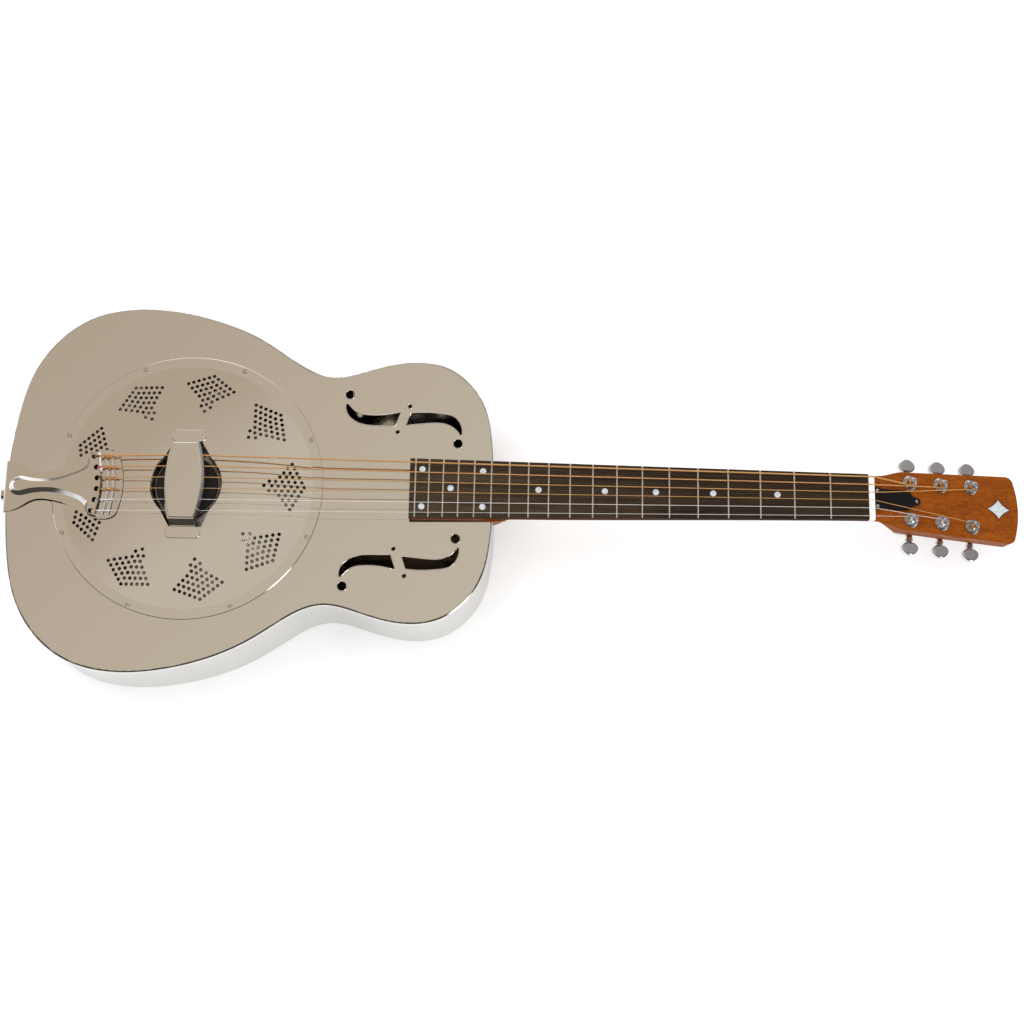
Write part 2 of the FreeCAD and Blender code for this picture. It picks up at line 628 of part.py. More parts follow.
def tailpiece():
    sheet = prism(tail_outline(), TAIL_SHEET)
    outer = Part.makeLoft([at_height(tongue_outline(0), TAIL_SHEET * 0.5),
                           at_height(tongue_outline(1), TAIL_SHEET + TAIL_EMBOSS)], True)
    inner = Part.makeLoft([at_height(tongue_outline(0.2), -0.01),
                           at_height(tongue_outline(1.1), TAIL_EMBOSS)], True)
    drills = [Part.makeCylinder(STRING_HOLE, 12, p + Vector(0, 0, -2)) for p in tail_holes()]
    stamped = union([sheet, outer] + [front_rib(x) for x in RIBS]).cut([inner] + drills)
    pin_hole = cylinder(PIN_SHAFT_RADIUS + 0.05, Vector(-190, 0, PIN_Z), Vector(-165, 0, PIN_Z))
    return union([placed(stamped, TAIL_FRAME), tail_tab()]).cut(pin_hole)


def end_pin():
    outside = TAIL_END - TAIL_SHEET
    head = PIN_HEAD_RADIUS
    profile = [(0, 0), (5.2, 0), (5.6, 1.2), (4.0, 3.4), (3.8, 7.2), (4.6, 8.8), (head - 0.6, 9.6),
               (head, 10.4), (head, 14.2), (head - 0.8, 15.2), (2.0, 16.0), (0, 16.0)]
    knob = ring(profile, Vector(outside, 0, PIN_Z), Vector(-1, 0, 0))
    start = outside - 2
    shaft = cylinder(PIN_SHAFT_RADIUS, Vector(start + PIN_SHAFT_LENGTH, 0, PIN_Z),
                     Vector(start, 0, PIN_Z))
    return union([knob, shaft])


# ---- neck (in its own frame: x = 0 at the nut, z = 0 on the fretboard's surface) --------------------
def board_half(x):
    return (NUT_WIDTH - BOARD_TAPER * min(x, 0)) / 2


def board_blank():
    wedge = polygon([(0, board_half(0), 0), (BOARD_END, board_half(BOARD_END), 0),
                     (BOARD_END, -board_half(BOARD_END), 0), (0, -board_half(0), 0)])
    blank = prism(wedge, BOARD_THICKNESS)
    blank.translate(Vector(0, 0, -BOARD_THICKNESS))
    crown = cylinder(BOARD_RADIUS, Vector(BOARD_END - 1, 0, -BOARD_RADIUS), Vector(1, 0, -BOARD_RADIUS))
    return blank.common(crown)


def fret_position(number):
    return -SCALE_LENGTH * (1 - 2 ** (-number / 12))


def fret(number):
    x = fret_position(number)
    half = FRET_WIDTH / 2
    crown = Part.Arc(Vector(x - half, 0, 0), Vector(x, 0, FRET_HEIGHT), Vector(x + half, 0, 0))
    tang = [(x + half, 0), (x + 0.3, 0), (x + 0.3, -1.6), (x - 0.3, -1.6), (x - 0.3, 0), (x - half, 0)]
    section = [crown.toShape()] + segments(tang)
    spread = math.degrees((board_half(x) - 0.3) / BOARD_RADIUS)
    face = Part.Face(Part.Wire(Part.__sortEdges__(section)))
    face.rotate(Vector(0, 0, -BOARD_RADIUS), Vector(1, 0, 0), -spread)
    return face.revolve(Vector(0, 0, -BOARD_RADIUS), Vector(1, 0, 0), 2 * spread)


def dot_places():
    places = [(number, 0.0) for number in SINGLE_DOTS]
    for number, offset in PAIR_DOTS.items():
        places += [(number, offset), (number, -offset)]
    return [((fret_position(n) + fret_position(n - 1)) / 2, y) for n, y in places]


def position_dots(blank):
    dots = [Part.makeCylinder(DOT_RADIUS, 4, Vector(x, y, -2.2)).common(blank) for x, y in dot_places()]
    return Part.makeCompound(dots)


def nut(string_cutters):
    half = NUT_WIDTH / 2
    block = box((0, -half, -BOARD_THICKNESS), (NUT_THICKNESS, half, NUT_TOP))
    top = [e for e in block.Edges if e.BoundBox.ZMin > NUT_TOP - 0.01 and e.BoundBox.YLength > 1]
    block = block.makeFillet(1.0, top)
    return notched(placed(block, NECK_FRAME), string_cutters)


def neck_section(x, depth):
    """Half-round section of the neck's back at one station."""
    half = board_half(x)
    low = -BOARD_THICKNESS
    back = spline([(x, half, low), (x, half * 0.93, low - 0.34 * depth),
                   (x, half * 0.55, low - 0.83 * depth), (x, 0, low - depth),
                   (x, -half * 0.55, low - 0.83 * depth), (x, -half * 0.93, low - 0.34 * depth),
                   (x, -half, low)])
    return Part.Wire([back, Part.makeLine(Vector(x, -half, low), Vector(x, half, low))])


def headstock_outline():
    """Flared shoulders, nearly straight sides that spread towards the tip, and a softly rounded tip."""
    half = NUT_WIDTH / 2
    edges = []
    for side in (1, -1):
        shoulder = Vector(HEAD_SHOULDER[0], side * HEAD_SHOULDER[1], 0)
        corner = Vector(HEAD_CORNER, side * HEAD_TIP_HALF, 0)
        tip = Vector(HEAD_LENGTH - 4.0, side * 0.8 * HEAD_TIP_HALF, 0)
        round_middle = Vector(HEAD_LENGTH - 6.1, side * (HEAD_TIP_HALF - 2.3), 0)
        flare = [(-2.0, half), (6.0, half + 0.3), (15.0, half + 2.2), (24.0, half + 5.0)]
        edges.append(spline([(x, side * y, 0) for x, y in flare] + [tuple(shoulder)],
                            InitialTangent=Vector(1, 0, 0), FinalTangent=(corner - shoulder).normalize()))
        edges.append(Part.makeLine(shoulder, corner))
        edges.append(Part.Arc(corner, round_middle, tip).toShape())
    edges.append(Part.Arc(tip, Vector(HEAD_LENGTH, 0, 0), Vector(tip.x, -tip.y, 0)).toShape())
    edges.append(Part.makeLine(Vector(-2, half, 0), Vector(-2, -half, 0)))
    return Part.Wire(Part.__sortEdges__(edges))


def heel():
    """Tapered block that carries the neck against the body's end."""
    joint = BODY_JOINT - 6
    rings = []
    for z, half, reach in HEEL:
        plan = [(0, half), (0.5 * reach, 0.95 * half), (0.86 * reach, 0.58 * half), (reach, 0)]
        plan += [(x, -y) for x, y in reversed(plan[:-1])]
        front = spline([(joint + x, y, z) for x, y in plan])
        rings.append(Part.Wire([front, Part.makeLine(Vector(joint, -half, z), Vector(joint, half, z))]))
    return Part.makeLoft(rings, True)


def head_block():
    """Headstock before drilling; its underside rises to meet the neck behind the nut."""
    head = prism(headstock_outline(), -HEAD_THICKNESS)
    rise = polygon([(-4, -40, -1), (5, -40, -1), (27, -40, -HEAD_THICKNESS),
                    (27, -40, -40), (-4, -40, -40)])
    return head.cut(Part.Face(rise).extrude(Vector(0, 80, 0)))


def riser():
    """Wood under the end of the fretboard, on top of the body."""
    start, end = BODY_JOINT + 2, BOARD_END + 2
    wide, narrow = board_half(BODY_JOINT), board_half(BOARD_END) - 0.6
    plan = polygon([(start, wide, 0), (end, narrow, 0), (end, -narrow, 0), (start, -wide, 0)])
    return at_height(prism(plan, -RISER_HEIGHT), -BOARD_THICKNESS)


def neck(block, stick):
    stations = [(NUT_THICKNESS + 26, NECK_DEPTH_AT_NUT), (-12, NECK_DEPTH_AT_NUT),
                (-150, NECK_DEPTH_AT_NUT + 1.6), (BODY_JOINT - 3, NECK_DEPTH_AT_HEEL)]
    shaft = Part.makeLoft([neck_section(x, depth) for x, depth in stations], True)
    wood = union([shaft, heel(), riser(), placed(head_block(), HEAD_IN_NECK)])
    above_head = placed(box((0, -40, 0), (60, 40, 20)), HEAD_IN_NECK)
    above_nut = box((0, -40, -BOARD_THICKNESS), (NUT_THICKNESS + 1, 40, 20))
    pocket = box((2, -POCKET_HALF_WIDTH, -POCKET_DEPTH), (2 + POCKET_LENGTH, POCKET_HALF_WIDTH, 1))
    wood = wood.cut([above_head, above_nut, placed(pocket, HEAD_IN_NECK), rod_channel()])
    wood = placed(wood, NECK_FRAME)
    sleeve_bore = Part.makeCylinder(BUSHING_SLEEVE, HEAD_THICKNESS + 2, Vector(0, 0, -HEAD_THICKNESS - 1))
    drills = []
    for frame, _ in tuner_frames():
        drills += [placed(sleeve_bore, frame), placed(tuner_screw_hole(), frame)]
    for point in truss_cover_screw_places():
        pilot = Part.makeCylinder(SMALL_SHANK + 0.05, 7, point + Vector(0, 0, -7))
        drills.append(placed(pilot, HEAD_FRAME))
    return wood.cut([block, stick] + drills)


def rod_channel():
    z = -BOARD_THICKNESS - ROD_DEPTH
    return union([cylinder(ROD_RADIUS + 0.05, Vector(ROD_END, 0, z), Vector(20, 0, z)),
                  box((ROD_END, -ROD_RADIUS, z), (0, ROD_RADIUS, -BOARD_THICKNESS + 1))])


def truss_rod():
    z = -BOARD_THICKNESS - ROD_DEPTH
    rod = cylinder(ROD_RADIUS, Vector(ROD_END + 1, 0, z), Vector(18, 0, z))
    anchor = box((ROD_END + 0.5, -ROD_RADIUS, z), (ROD_END + 9, ROD_RADIUS, -BOARD_THICKNESS - 0.2))
    return placed(union([rod, anchor]), NECK_FRAME)


def hexagon(radius, x, centre_z):
    """Hexagon across the neck, at one distance from the nut."""
    corners = [math.tau * k / 6 for k in range(6)]
    return polygon([(x, radius * math.cos(a), centre_z + radius * math.sin(a)) for a in corners])


def truss_rod_nut():
    z = -BOARD_THICKNESS - ROD_DEPTH
    body = Part.Face(hexagon(ROD_NUT_RADIUS, ROD_NUT_START, z)).extrude(Vector(ROD_NUT_LENGTH, 0, 0))
    bore = cylinder(ROD_RADIUS + RUNNING, Vector(11, 0, z), Vector(18.4, 0, z))
    socket = Part.Face(hexagon(ROD_NUT_RADIUS / 2, 18.2, z)).extrude(Vector(3, 0, 0))
    return placed(body.cut([bore, socket]), NECK_FRAME)


def truss_cover_outline():
    (wide_x, wide_y), (lobe_x, lobe_y) = TRUSS_COVER_BELL[0], TRUSS_COVER_LOBE[-1]
    edges = []
    for sign in (1, -1):
        for side in (TRUSS_COVER_BELL, TRUSS_COVER_LOBE):
            edges.append(spline([(x, sign * y, 0) for x, y in side]))
    tip = Vector(TRUSS_COVER_TIP, 0, 0)
    edges.append(Part.Arc(Vector(lobe_x, lobe_y, 0), tip, Vector(lobe_x, -lobe_y, 0)).toShape())
    edges.append(Part.makeLine(Vector(wide_x, wide_y, 0), Vector(wide_x, -wide_y, 0)))
    return Part.Wire(Part.__sortEdges__(edges))


def truss_cover_screw_places():
    return [Vector(3.6, 7.4, 0), Vector(3.6, -7.4, 0), Vector(43.4, 0, 0)]


def truss_rod_cover():
    plate = prism(truss_cover_outline(), TRUSS_COVER_SHEET)
    holes = [Part.makeCylinder(SMALL_SHANK + 0.1, 4, point + Vector(0, 0, -1))
             for point in truss_cover_screw_places()]
    return placed(plate.cut(holes), HEAD_FRAME)


def small_screw(head_radius, length):
    """Domed wood screw with its head resting on z = 0."""
    head = ring([(0, 0), (head_radius, 0), (head_radius, 0.25), (head_radius * 0.7, 0.8), (0, 1.0)])
    shank = Part.makeCylinder(SMALL_SHANK, length, Vector(0, 0, -length))
    return union([head, shank])


def truss_cover_screws():
    screw = at_height(small_screw(1.7, 7.5), TRUSS_COVER_SHEET)
    screws = [placed(screw, Placement(point, Rotation())) for point in truss_cover_screw_places()]
    return placed(Part.makeCompound(screws), HEAD_FRAME)


def fretboard(blank, frets, dots):
    return blank.cut([frets, dots])


def neck_stick():
    """Square bar from the tail to the heel, into which its end is let."""
    tail = BODY_OUTLINE[0][0] + SHEET + 1.5
    end = BODY_OUTLINE[-1][0] + STICK_TENON
    return box((tail, -STICK_WIDTH / 2, STICK_BOTTOM), (end, STICK_WIDTH / 2, STICK_TOP))


def bored_stick(stick):
    pin = cylinder(PIN_SHAFT_RADIUS, Vector(-190, 0, PIN_Z), Vector(-140, 0, PIN_Z))
    return stick.cut(pin)


def stick_blocks():
    half = STICK_WIDTH / 2
    blocks = [box((x, -half, SHEET - BODY_DEPTH), (x + STICK_BLOCK_LENGTH, half, STICK_BOTTOM))
              for x in STICK_BLOCK_STARTS]
    return Part.makeCompound(blocks)


# ---- tuners (for the bass side, about a post's axis in the headstock's frame) -----------------------
def tuner_frames():
    """Frame of every tuner and whether it is the mirrored, treble-side one."""
    frames = []
    for sign in (1, -1):
        for distance, offset in POSTS:
            spot = Placement(Vector(distance, sign * offset, 0), Rotation())
            frames.append((HEAD_FRAME * spot, sign < 0))
    return frames


def fitted(shape, frame, is_mirrored):
    return placed(mirrored(shape) if is_mirrored else shape, frame)


def gear_wheel():
    """Straight-toothed worm wheel with trapezoid teeth and ample backlash; a gap faces the worm."""
    root = WHEEL_PITCH_RADIUS - 1.14 * GEAR_MODULE
    tip = WHEEL_PITCH_RADIUS + 0.86 * GEAR_MODULE
    root_half, tip_half = 0.88 * GEAR_MODULE, 0.34 * GEAR_MODULE
    low = -GEAR_DEPTH - GEAR_WIDTH / 2
    disc = Part.makeCylinder(root, GEAR_WIDTH, Vector(0, 0, low))
    tooth = prism(polygon([(root - 0.3, -root_half, 0), (tip, -tip_half, 0), (tip, tip_half, 0),
                           (root - 0.3, root_half, 0)]), GEAR_WIDTH)
    teeth = []
    for k in range(WHEEL_TEETH):
        turn = Placement(Vector(0, 0, low), Rotation(Vector(0, 0, 1), 360 / WHEEL_TEETH * (k + 0.5)))
        teeth.append(placed(tooth, turn))
    return union([disc] + teeth)


def tuner_post():
    low = -GEAR_DEPTH - 2.6
    post = ring([(0, low), (POST_RADIUS, low), (POST_RADIUS, 2.9), (POST_WAIST, 3.2),
                 (POST_WAIST, 7.8), (POST_RADIUS, 8.4), (POST_RADIUS, POST_TOP - 0.5),
                 (POST_RADIUS - 0.5, POST_TOP), (0, POST_TOP)])
    string_hole = cylinder(0.8, Vector(-5, 0, 6.9), Vector(5, 0, 6.9))
    return union([post.cut(string_hole), gear_wheel()])


def worm_thread():
    """Right-hand single-start thread about the z axis."""
    length = WORM_TURNS * WORM_LEAD
    outer = WORM_PITCH_RADIUS + 0.86 * GEAR_MODULE
    root = WORM_CORE - 0.15
    root_half, crest_half = 0.71 * GEAR_MODULE, 0.29 * GEAR_MODULE
    helix = Part.makeHelix(WORM_LEAD, length, WORM_CORE)
    section = polygon([(root, 0, -root_half), (outer, 0, -crest_half),
                       (outer, 0, crest_half), (root, 0, root_half)])
    thread = Part.Wire(helix.Edges).makePipeShell([section], True, True)
    thread.translate(Vector(0, 0, -length / 2))
    return thread


def worm_shaft():
    axis = Vector(GEAR_CENTRES, 0, -GEAR_DEPTH)
    thread = worm_thread()
    core = Part.makeCylinder(WORM_CORE, 11.4, Vector(0, 0, -5.7))
    journals = Part.makeCylinder(SHAFT_RADIUS, 1.9, Vector(0, 0, -7.6))
    stem = Part.makeCylinder(SHAFT_RADIUS, BUTTON_INNER + 3.4 - 5.6, Vector(0, 0, 5.6))
    collar = ring([(0, COLLAR_END - 1.0), (2.5, COLLAR_END - 1.0), (2.8, COLLAR_END - 0.6),
                   (2.8, COLLAR_END), (0, COLLAR_END)])
    shaft = union([core, thread, journals, stem, collar])
    # a thread crest faces the wheel, which lies on the -x side of the worm
    turn = Rotation(Vector(0, 0, 1), 180)
    shaft.Placement = Placement(Vector(0, 0, 0), turn)
    lay = Placement(axis, Rotation(Vector(1, 0, 0), -90))
    return placed(shaft, lay)


def tuner_button():
    """Half-moon button: narrow at the shaft, broad and round outside."""
    half = BUTTON_HALF_WIDTH
    inner = BUTTON_INNER
    far = BUTTON_INNER + BUTTON_LENGTH
    x = GEAR_CENTRES
    right = spline([(x + 3.0, inner, 0), (x + half * 0.86, inner + 2.4, 0), (x + half, inner + 5.2, 0),
                    (x + half * 0.84, inner + 9.0, 0), (x + half * 0.42, far - 0.9, 0), (x, far, 0),
                    (x - half * 0.42, far - 0.9, 0), (x - half * 0.84, inner + 9.0, 0),
                    (x - half, inner + 5.2, 0), (x - half * 0.86, inner + 2.4, 0), (x - 3.0, inner, 0)])
    base = Part.makeLine(Vector(x - 3.0, inner, 0), Vector(x + 3.0, inner, 0))
    solid = prism(Part.Wire([right, base]), BUTTON_THICKNESS)
    rims = [e for e in solid.Edges if e.BoundBox.ZLength < 0.01 and e.BoundBox.YLength > 1]
    solid = solid.makeFillet(1.6, rims)
    solid.translate(Vector(0, 0, -GEAR_DEPTH - BUTTON_THICKNESS / 2))
    bore = cylinder(SHAFT_RADIUS, Vector(x, inner - 1, -GEAR_DEPTH), Vector(x, inner + 3.4, -GEAR_DEPTH))
    return solid.cut(bore)


def tuner_housing():
    top = -HEAD_THICKNESS
    floor = top - HOUSING_FLOOR
    bottom = -GEAR_DEPTH - HOUSING_BELOW_WORM
    low_x, low_y = HOUSING_LOW
    high_x, high_y = HOUSING_HIGH
    shell = box((low_x, low_y, bottom), (high_x, high_y, top))
    corners = [e for e in shell.Edges if e.BoundBox.ZLength > 5]
    shell = shell.makeFillet(HOUSING_CORNER, corners)
    room = box((low_x + HOUSING_WALL, low_y + HOUSING_WALL, bottom - 1),
               (high_x - HOUSING_WALL, high_y - HOUSING_WALL, floor))
    worm = Vector(GEAR_CENTRES, 0, -GEAR_DEPTH)
    boss = cylinder(3.4, worm + Vector(0, high_y - 1, 0), worm + Vector(0, 13.0, 0))
    boss_rim = cylinder(3.9, worm + Vector(0, 13.0, 0), worm + Vector(0, 14.6, 0))
    ear = Part.makeCylinder(3.0, 2.0, Vector(SCREW_EAR, 0, top - 2.0))
    ear = union([ear, box((SCREW_EAR, -3.0, top - 2.0), (low_x + 1, 3.0, top))])
    shaft_bore = cylinder(SHAFT_RADIUS + RUNNING, worm + Vector(0, -7.75, 0), worm + Vector(0, 16, 0))
    post_bore = Part.makeCylinder(POST_RADIUS + RUNNING, 4, Vector(0, 0, floor - 1))
    screw_bore = Part.makeCylinder(SMALL_SHANK + 0.05, 4, Vector(SCREW_EAR, 0, top - 3))
    return union([shell.cut(room), boss, boss_rim, ear]).cut([shaft_bore, post_bore, screw_bore])


def tuner_cover():
    bottom = -GEAR_DEPTH - HOUSING_BELOW_WORM
    low_x, low_y = HOUSING_LOW
    high_x, high_y = HOUSING_HIGH
    plate = box((low_x, low_y, bottom - COVER_PLATE), (high_x, high_y, bottom))
    corners = [e for e in plate.Edges if e.BoundBox.ZLength > 1]
    plate = plate.makeFillet(HOUSING_CORNER, corners)
    lower = [e for e in plate.Edges if e.BoundBox.ZMax < bottom - COVER_PLATE + 0.01]
    return plate.makeFillet(0.8, lower)


def tuner_screw_hole():
    return Part.makeCylinder(SMALL_SHANK + 0.02, 8, Vector(SCREW_EAR, 0, -HEAD_THICKNESS - 1))


def tuner_screw():
    screw = small_screw(1.9, 8.0)
    flip = Placement(Vector(SCREW_EAR, 0, -HEAD_THICKNESS - 2.0), Rotation(Vector(1, 0, 0), 180))
    return placed(screw, flip)


def tuner_bushing():
    """Washer, hexagon nut and threaded sleeve in which the post turns."""
    washer = ring([(0, 0), (7.2, 0), (7.2, 0.5), (6.8, 0.9), (0, 0.9)])
    radius = 6.5
    corners = [math.tau * k / 6 for k in range(6)]
    outline = polygon([(radius * math.cos(a), radius * math.sin(a), 0.8) for a in corners])
    hexagon_nut = prism(outline, 1.7)
    trim = ring([(0, 0.7), (radius, 0.7), (radius, 1.7), (radius - 0.9, 2.6), (0, 2.6)])
    collar = Part.makeCylinder(4.0, 0.5, Vector(0, 0, 2.5))
    sleeve = Part.makeCylinder(BUSHING_SLEEVE, 9, Vector(0, 0, -9))
    bore = Part.makeCylinder(POST_RADIUS + RUNNING, 20, Vector(0, 0, -10))
    return union([washer, hexagon_nut.common(trim), collar, sleeve]).cut(bore)


def winding(diameter):
    """String wrapped round the post: turns side by side, drawn as one scalloped ring."""
    r = diameter / 2
    low = 3.5 + diameter
    turns = max(2, min(4, int(2.9 / diameter)))
    inner = POST_WAIST
    edges = []
    for k in range(turns):
        z = low + k * diameter
        edges.append(Part.Arc(Vector(inner + r, 0, z), Vector(inner + diameter, 0, z + r),
                              Vector(inner + r, 0, z + diameter)).toShape())
    high = low + turns * diameter
    edges += segments([(inner + r, high), (inner, high), (inner, low), (inner + r, low)])
    face = Part.Face(Part.Wire(Part.__sortEdges__(edges)))
    solid = face.revolve(Vector(0, 0, 0), Vector(0, 0, 1), 360)
    return solid.cut(tuner_post())


# ---- strings --------------------------------------------------------------------------------------
def string_post(index):
    """Tuner that string number index (0 = bass) winds on."""
    return index if index < 3 else 3 + (5 - index)


def string_path(index):
    radius = STRING_DIAMETERS[index] / 2
    side = 2.5 - index
    hole = tail_holes()[index]
    start = TAIL_FRAME.multVec(Vector(hole.x + 1.3, hole.y, BALL_HEIGHT))
    rise = TAIL_SHEET + TAIL_EMBOSS + radius + 0.2
    exit_point = TAIL_FRAME.multVec(Vector(hole.x + STRING_HOLE - radius - 0.25, hole.y, rise))
    y_saddle = side * SADDLE_SPACING + SADDLE_OFFSET
    saddle_point = Vector(SADDLE_X, y_saddle, SADDLE_TOP - y_saddle ** 2 / (2 * BOARD_RADIUS) + radius)
    y_nut = side * NUT_SPACING
    nut_z = FRET_HEIGHT + 0.5 - y_nut ** 2 / (2 * BOARD_RADIUS) + radius
    nut_front = NECK_FRAME.multVec(Vector(0.4, y_nut, nut_z))
    nut_back = NECK_FRAME.multVec(Vector(NUT_THICKNESS, y_nut, nut_z - 0.5))
    frame, is_mirrored = tuner_frames()[string_post(index)]
    sign = -1 if is_mirrored else 1
    end = frame.multVec(Vector(0, -sign * (POST_WAIST + radius + 0.05), 3.3 + radius))
    return [start, exit_point, saddle_point, nut_front, nut_back, end]


def pipe(points, radius):
    circle = Part.Wire([Part.makeCircle(radius, points[0], points[1] - points[0])])
    return Part.Wire(Part.makePolygon(points).Edges).makePipeShell([circle], True, False, 1)


def string(index):
    path = string_path(index)
    radius = STRING_DIAMETERS[index] / 2
    aside = Vector(0, BALL_LENGTH / 2, 0)
    ball = cylinder(BALL_RADIUS, path[0] - aside, path[0] + aside)
    return union([pipe(path, radius), ball])


def string_slot(index):
    """Slot cutters that clear a string, open upwards, where it crosses the saddle and the nut."""
    radius = STRING_DIAMETERS[index] / 2
    below = Vector(0, 0, -1.1 * radius - 0.05)
    above = Vector(0, 0, 6)
    aside = Vector(0, -radius - 0.03, 0)
    path = string_path(index)[1:]
    cutters = []
    for a, b in zip(path, path[1:]):
        wall = [a + below + aside, a + above + aside, b + above + aside, b + below + aside]
        cutters.append(Part.Face(polygon(wall)).extrude(aside * -2))
    return cutters


def notched(shape, string_cutters):
    for cutter in string_cutters:
        if shape.BoundBox.intersect(cutter.BoundBox):
            shape = shape.cut(cutter)
    return shape


# ---- build ----------------------------------------------------------------------------------------
def build_body():
    block = body_block()
    save("body_top", body_top(block))
    save("body_sides", body_sides(block))
    save("body_back", body_back(block))
    save("soundwell", soundwell())
    return block


def build_resonator(string_cutters):
    save("resonator_cone", resonator_cone())
    save("biscuit", biscuit())
    save("saddle", saddle(string_cutters))
    save("biscuit_screw", biscuit_screw())
    save("coverplate", coverplate())
    save("coverplate_screws", coverplate_screws())
    save("palm_rest", palm_rest())
    save("tailpiece", tailpiece())
    save("end_pin", end_pin())


def build_neck(block, string_cutters):
    stick = neck_stick()
    save("neck_stick", bored_stick(stick))
    save("stick_blocks", stick_blocks())
    save("neck", neck(block, stick))
    blank = board_blank()
    frets = Part.makeCompound([fret(n) for n in range(1, FRET_COUNT + 1)])
    dots = position_dots(blank)
    save("fretboard", placed(fretboard(blank, frets, dots), NECK_FRAME))
    save("frets", placed(frets, NECK_FRAME))
    save("position_dots", placed(dots, NECK_FRAME))
    save("nut", nut(string_cutters))
    save("truss_rod", truss_rod())
    save("truss_rod_nut", truss_rod_nut())
    save("truss_rod_cover", truss_rod_cover())
    save("truss_cover_screws", truss_cover_screws())


def build_tuners():
    shared = {"tuner_housings": tuner_housing(), "tuner_covers": tuner_cover(),
              "tuner_bushings": tuner_bushing(), "tuner_screws": tuner_screw()}
    for name, shape in shared.items():
        save(name, Part.makeCompound([fitted(shape, *place) for place in tuner_frames()]))
    moving = {"button": tuner_button(), "worm_shaft": worm_shaft(), "post": tuner_post()}
    for number, place in enumerate(tuner_frames(), start=1):
        for name, shape in moving.items():
            save(f"tuner_{number}_{name}", fitted(shape, *place))
    for index, diameter in enumerate(STRING_DIAMETERS):
        post = string_post(index)
        save(f"tuner_{post + 1}_winding", fitted(winding(diameter), *tuner_frames()[post]))


def build_strings():
    for index in range(6):
        kind = "wound" if index < 4 else "plain"
        save(f"string_{6 - index}_{kind}", string(index))


os.makedirs("parts", exist_ok=True)
slots = [solid for index in range(6) for solid in string_slot(index)]
body = build_body()
build_resonator(slots)
build_neck(body, slots)
build_tuners()
build_strings()
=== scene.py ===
"""Looks of the resonator guitar: materials, string details and the studio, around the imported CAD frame.

Units are metres in the frame's own axes: +X to the headstock, +Y to the bass side, +Z out of the top.
Lengths named in mm are multiplied by MM where they are used.
"""
import json
import math

import bpy
from mathutils import Matrix, Vector


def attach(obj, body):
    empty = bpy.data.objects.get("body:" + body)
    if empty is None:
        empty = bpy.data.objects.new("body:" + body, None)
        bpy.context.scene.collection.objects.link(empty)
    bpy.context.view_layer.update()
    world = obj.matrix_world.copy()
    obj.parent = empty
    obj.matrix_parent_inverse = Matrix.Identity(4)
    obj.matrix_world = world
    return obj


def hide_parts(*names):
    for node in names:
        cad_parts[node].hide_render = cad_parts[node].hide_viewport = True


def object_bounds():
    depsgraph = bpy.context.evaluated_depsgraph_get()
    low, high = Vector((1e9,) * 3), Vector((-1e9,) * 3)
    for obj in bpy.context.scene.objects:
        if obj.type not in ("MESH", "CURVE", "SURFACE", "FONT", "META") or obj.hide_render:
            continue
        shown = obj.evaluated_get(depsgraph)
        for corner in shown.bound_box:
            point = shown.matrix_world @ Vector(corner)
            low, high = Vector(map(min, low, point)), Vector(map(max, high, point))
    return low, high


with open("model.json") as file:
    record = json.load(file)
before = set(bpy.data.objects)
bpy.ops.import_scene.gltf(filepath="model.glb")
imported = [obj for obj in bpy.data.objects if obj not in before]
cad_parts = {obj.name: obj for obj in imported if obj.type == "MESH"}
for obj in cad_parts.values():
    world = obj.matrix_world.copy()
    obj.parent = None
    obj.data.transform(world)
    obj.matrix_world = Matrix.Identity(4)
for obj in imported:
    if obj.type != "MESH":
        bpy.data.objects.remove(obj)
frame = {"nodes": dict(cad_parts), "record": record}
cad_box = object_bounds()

MM = 0.001
ROOT = "guitar"
BODY_TOP = 88.0                        # height of the body's top face, mm


# ---- node helpers -----------------------------------------------------------------------------------------
def colour(r, g, b):
    return (r, g, b, 1.0)


class Nodes:
    """A node tree built up one node at a time."""

    def __init__(self, tree):
        self.tree = tree

    def node(self, kind, **settings):
        """A new node. A setting names one of its properties or, with _ for spaces, one of its inputs."""
        made = self.tree.nodes.new(kind)
        for key, value in settings.items():
            if hasattr(made, key):
                setattr(made, key, value)
            else:
                made.inputs[key.replace("_", " ")].default_value = value
        return made

    def link(self, source, target):
        self.tree.links.new(source, target)

    def remap(self, value, low, high, from_low=0.0, from_high=1.0):
        made = self.node("ShaderNodeMapRange", From_Min=from_low, From_Max=from_high, To_Min=low, To_Max=high)
        self.link(value, made.inputs["Value"])
        return made.outputs["Result"]

    def graded(self, value, low, high):
        """0 below low, 1 above high, with a soft change between them."""
        made = self.node("ShaderNodeMapRange", interpolation_type="SMOOTHSTEP", From_Min=low, From_Max=high)
        self.link(value, made.inputs["Value"])
        return made.outputs["Result"]

    def mix(self, first, second, factor, blend="MIX"):
        made = self.node("ShaderNodeMix", data_type="RGBA", blend_type=blend)
        for socket, value in ((made.inputs[0], factor), (made.inputs[6], first), (made.inputs[7], second)):
            if isinstance(value, bpy.types.NodeSocket):
                self.link(value, socket)
            else:
                socket.default_value = value
        return made.outputs[2]

    def dot(self, vector, towards):
        made = self.node("ShaderNodeVectorMath", operation="DOT_PRODUCT")
        made.inputs[1].default_value = Vector(towards).normalized()
        self.link(vector, made.inputs[0])
        return made.outputs["Value"]

    def cone(self, vector, towards, inner, outer):
        """1 inside a cone of directions, 0 outside it, with a soft edge. Angles in degrees."""
        return self.graded(self.dot(vector, towards), math.cos(math.radians(outer)),
                           math.cos(math.radians(inner)))


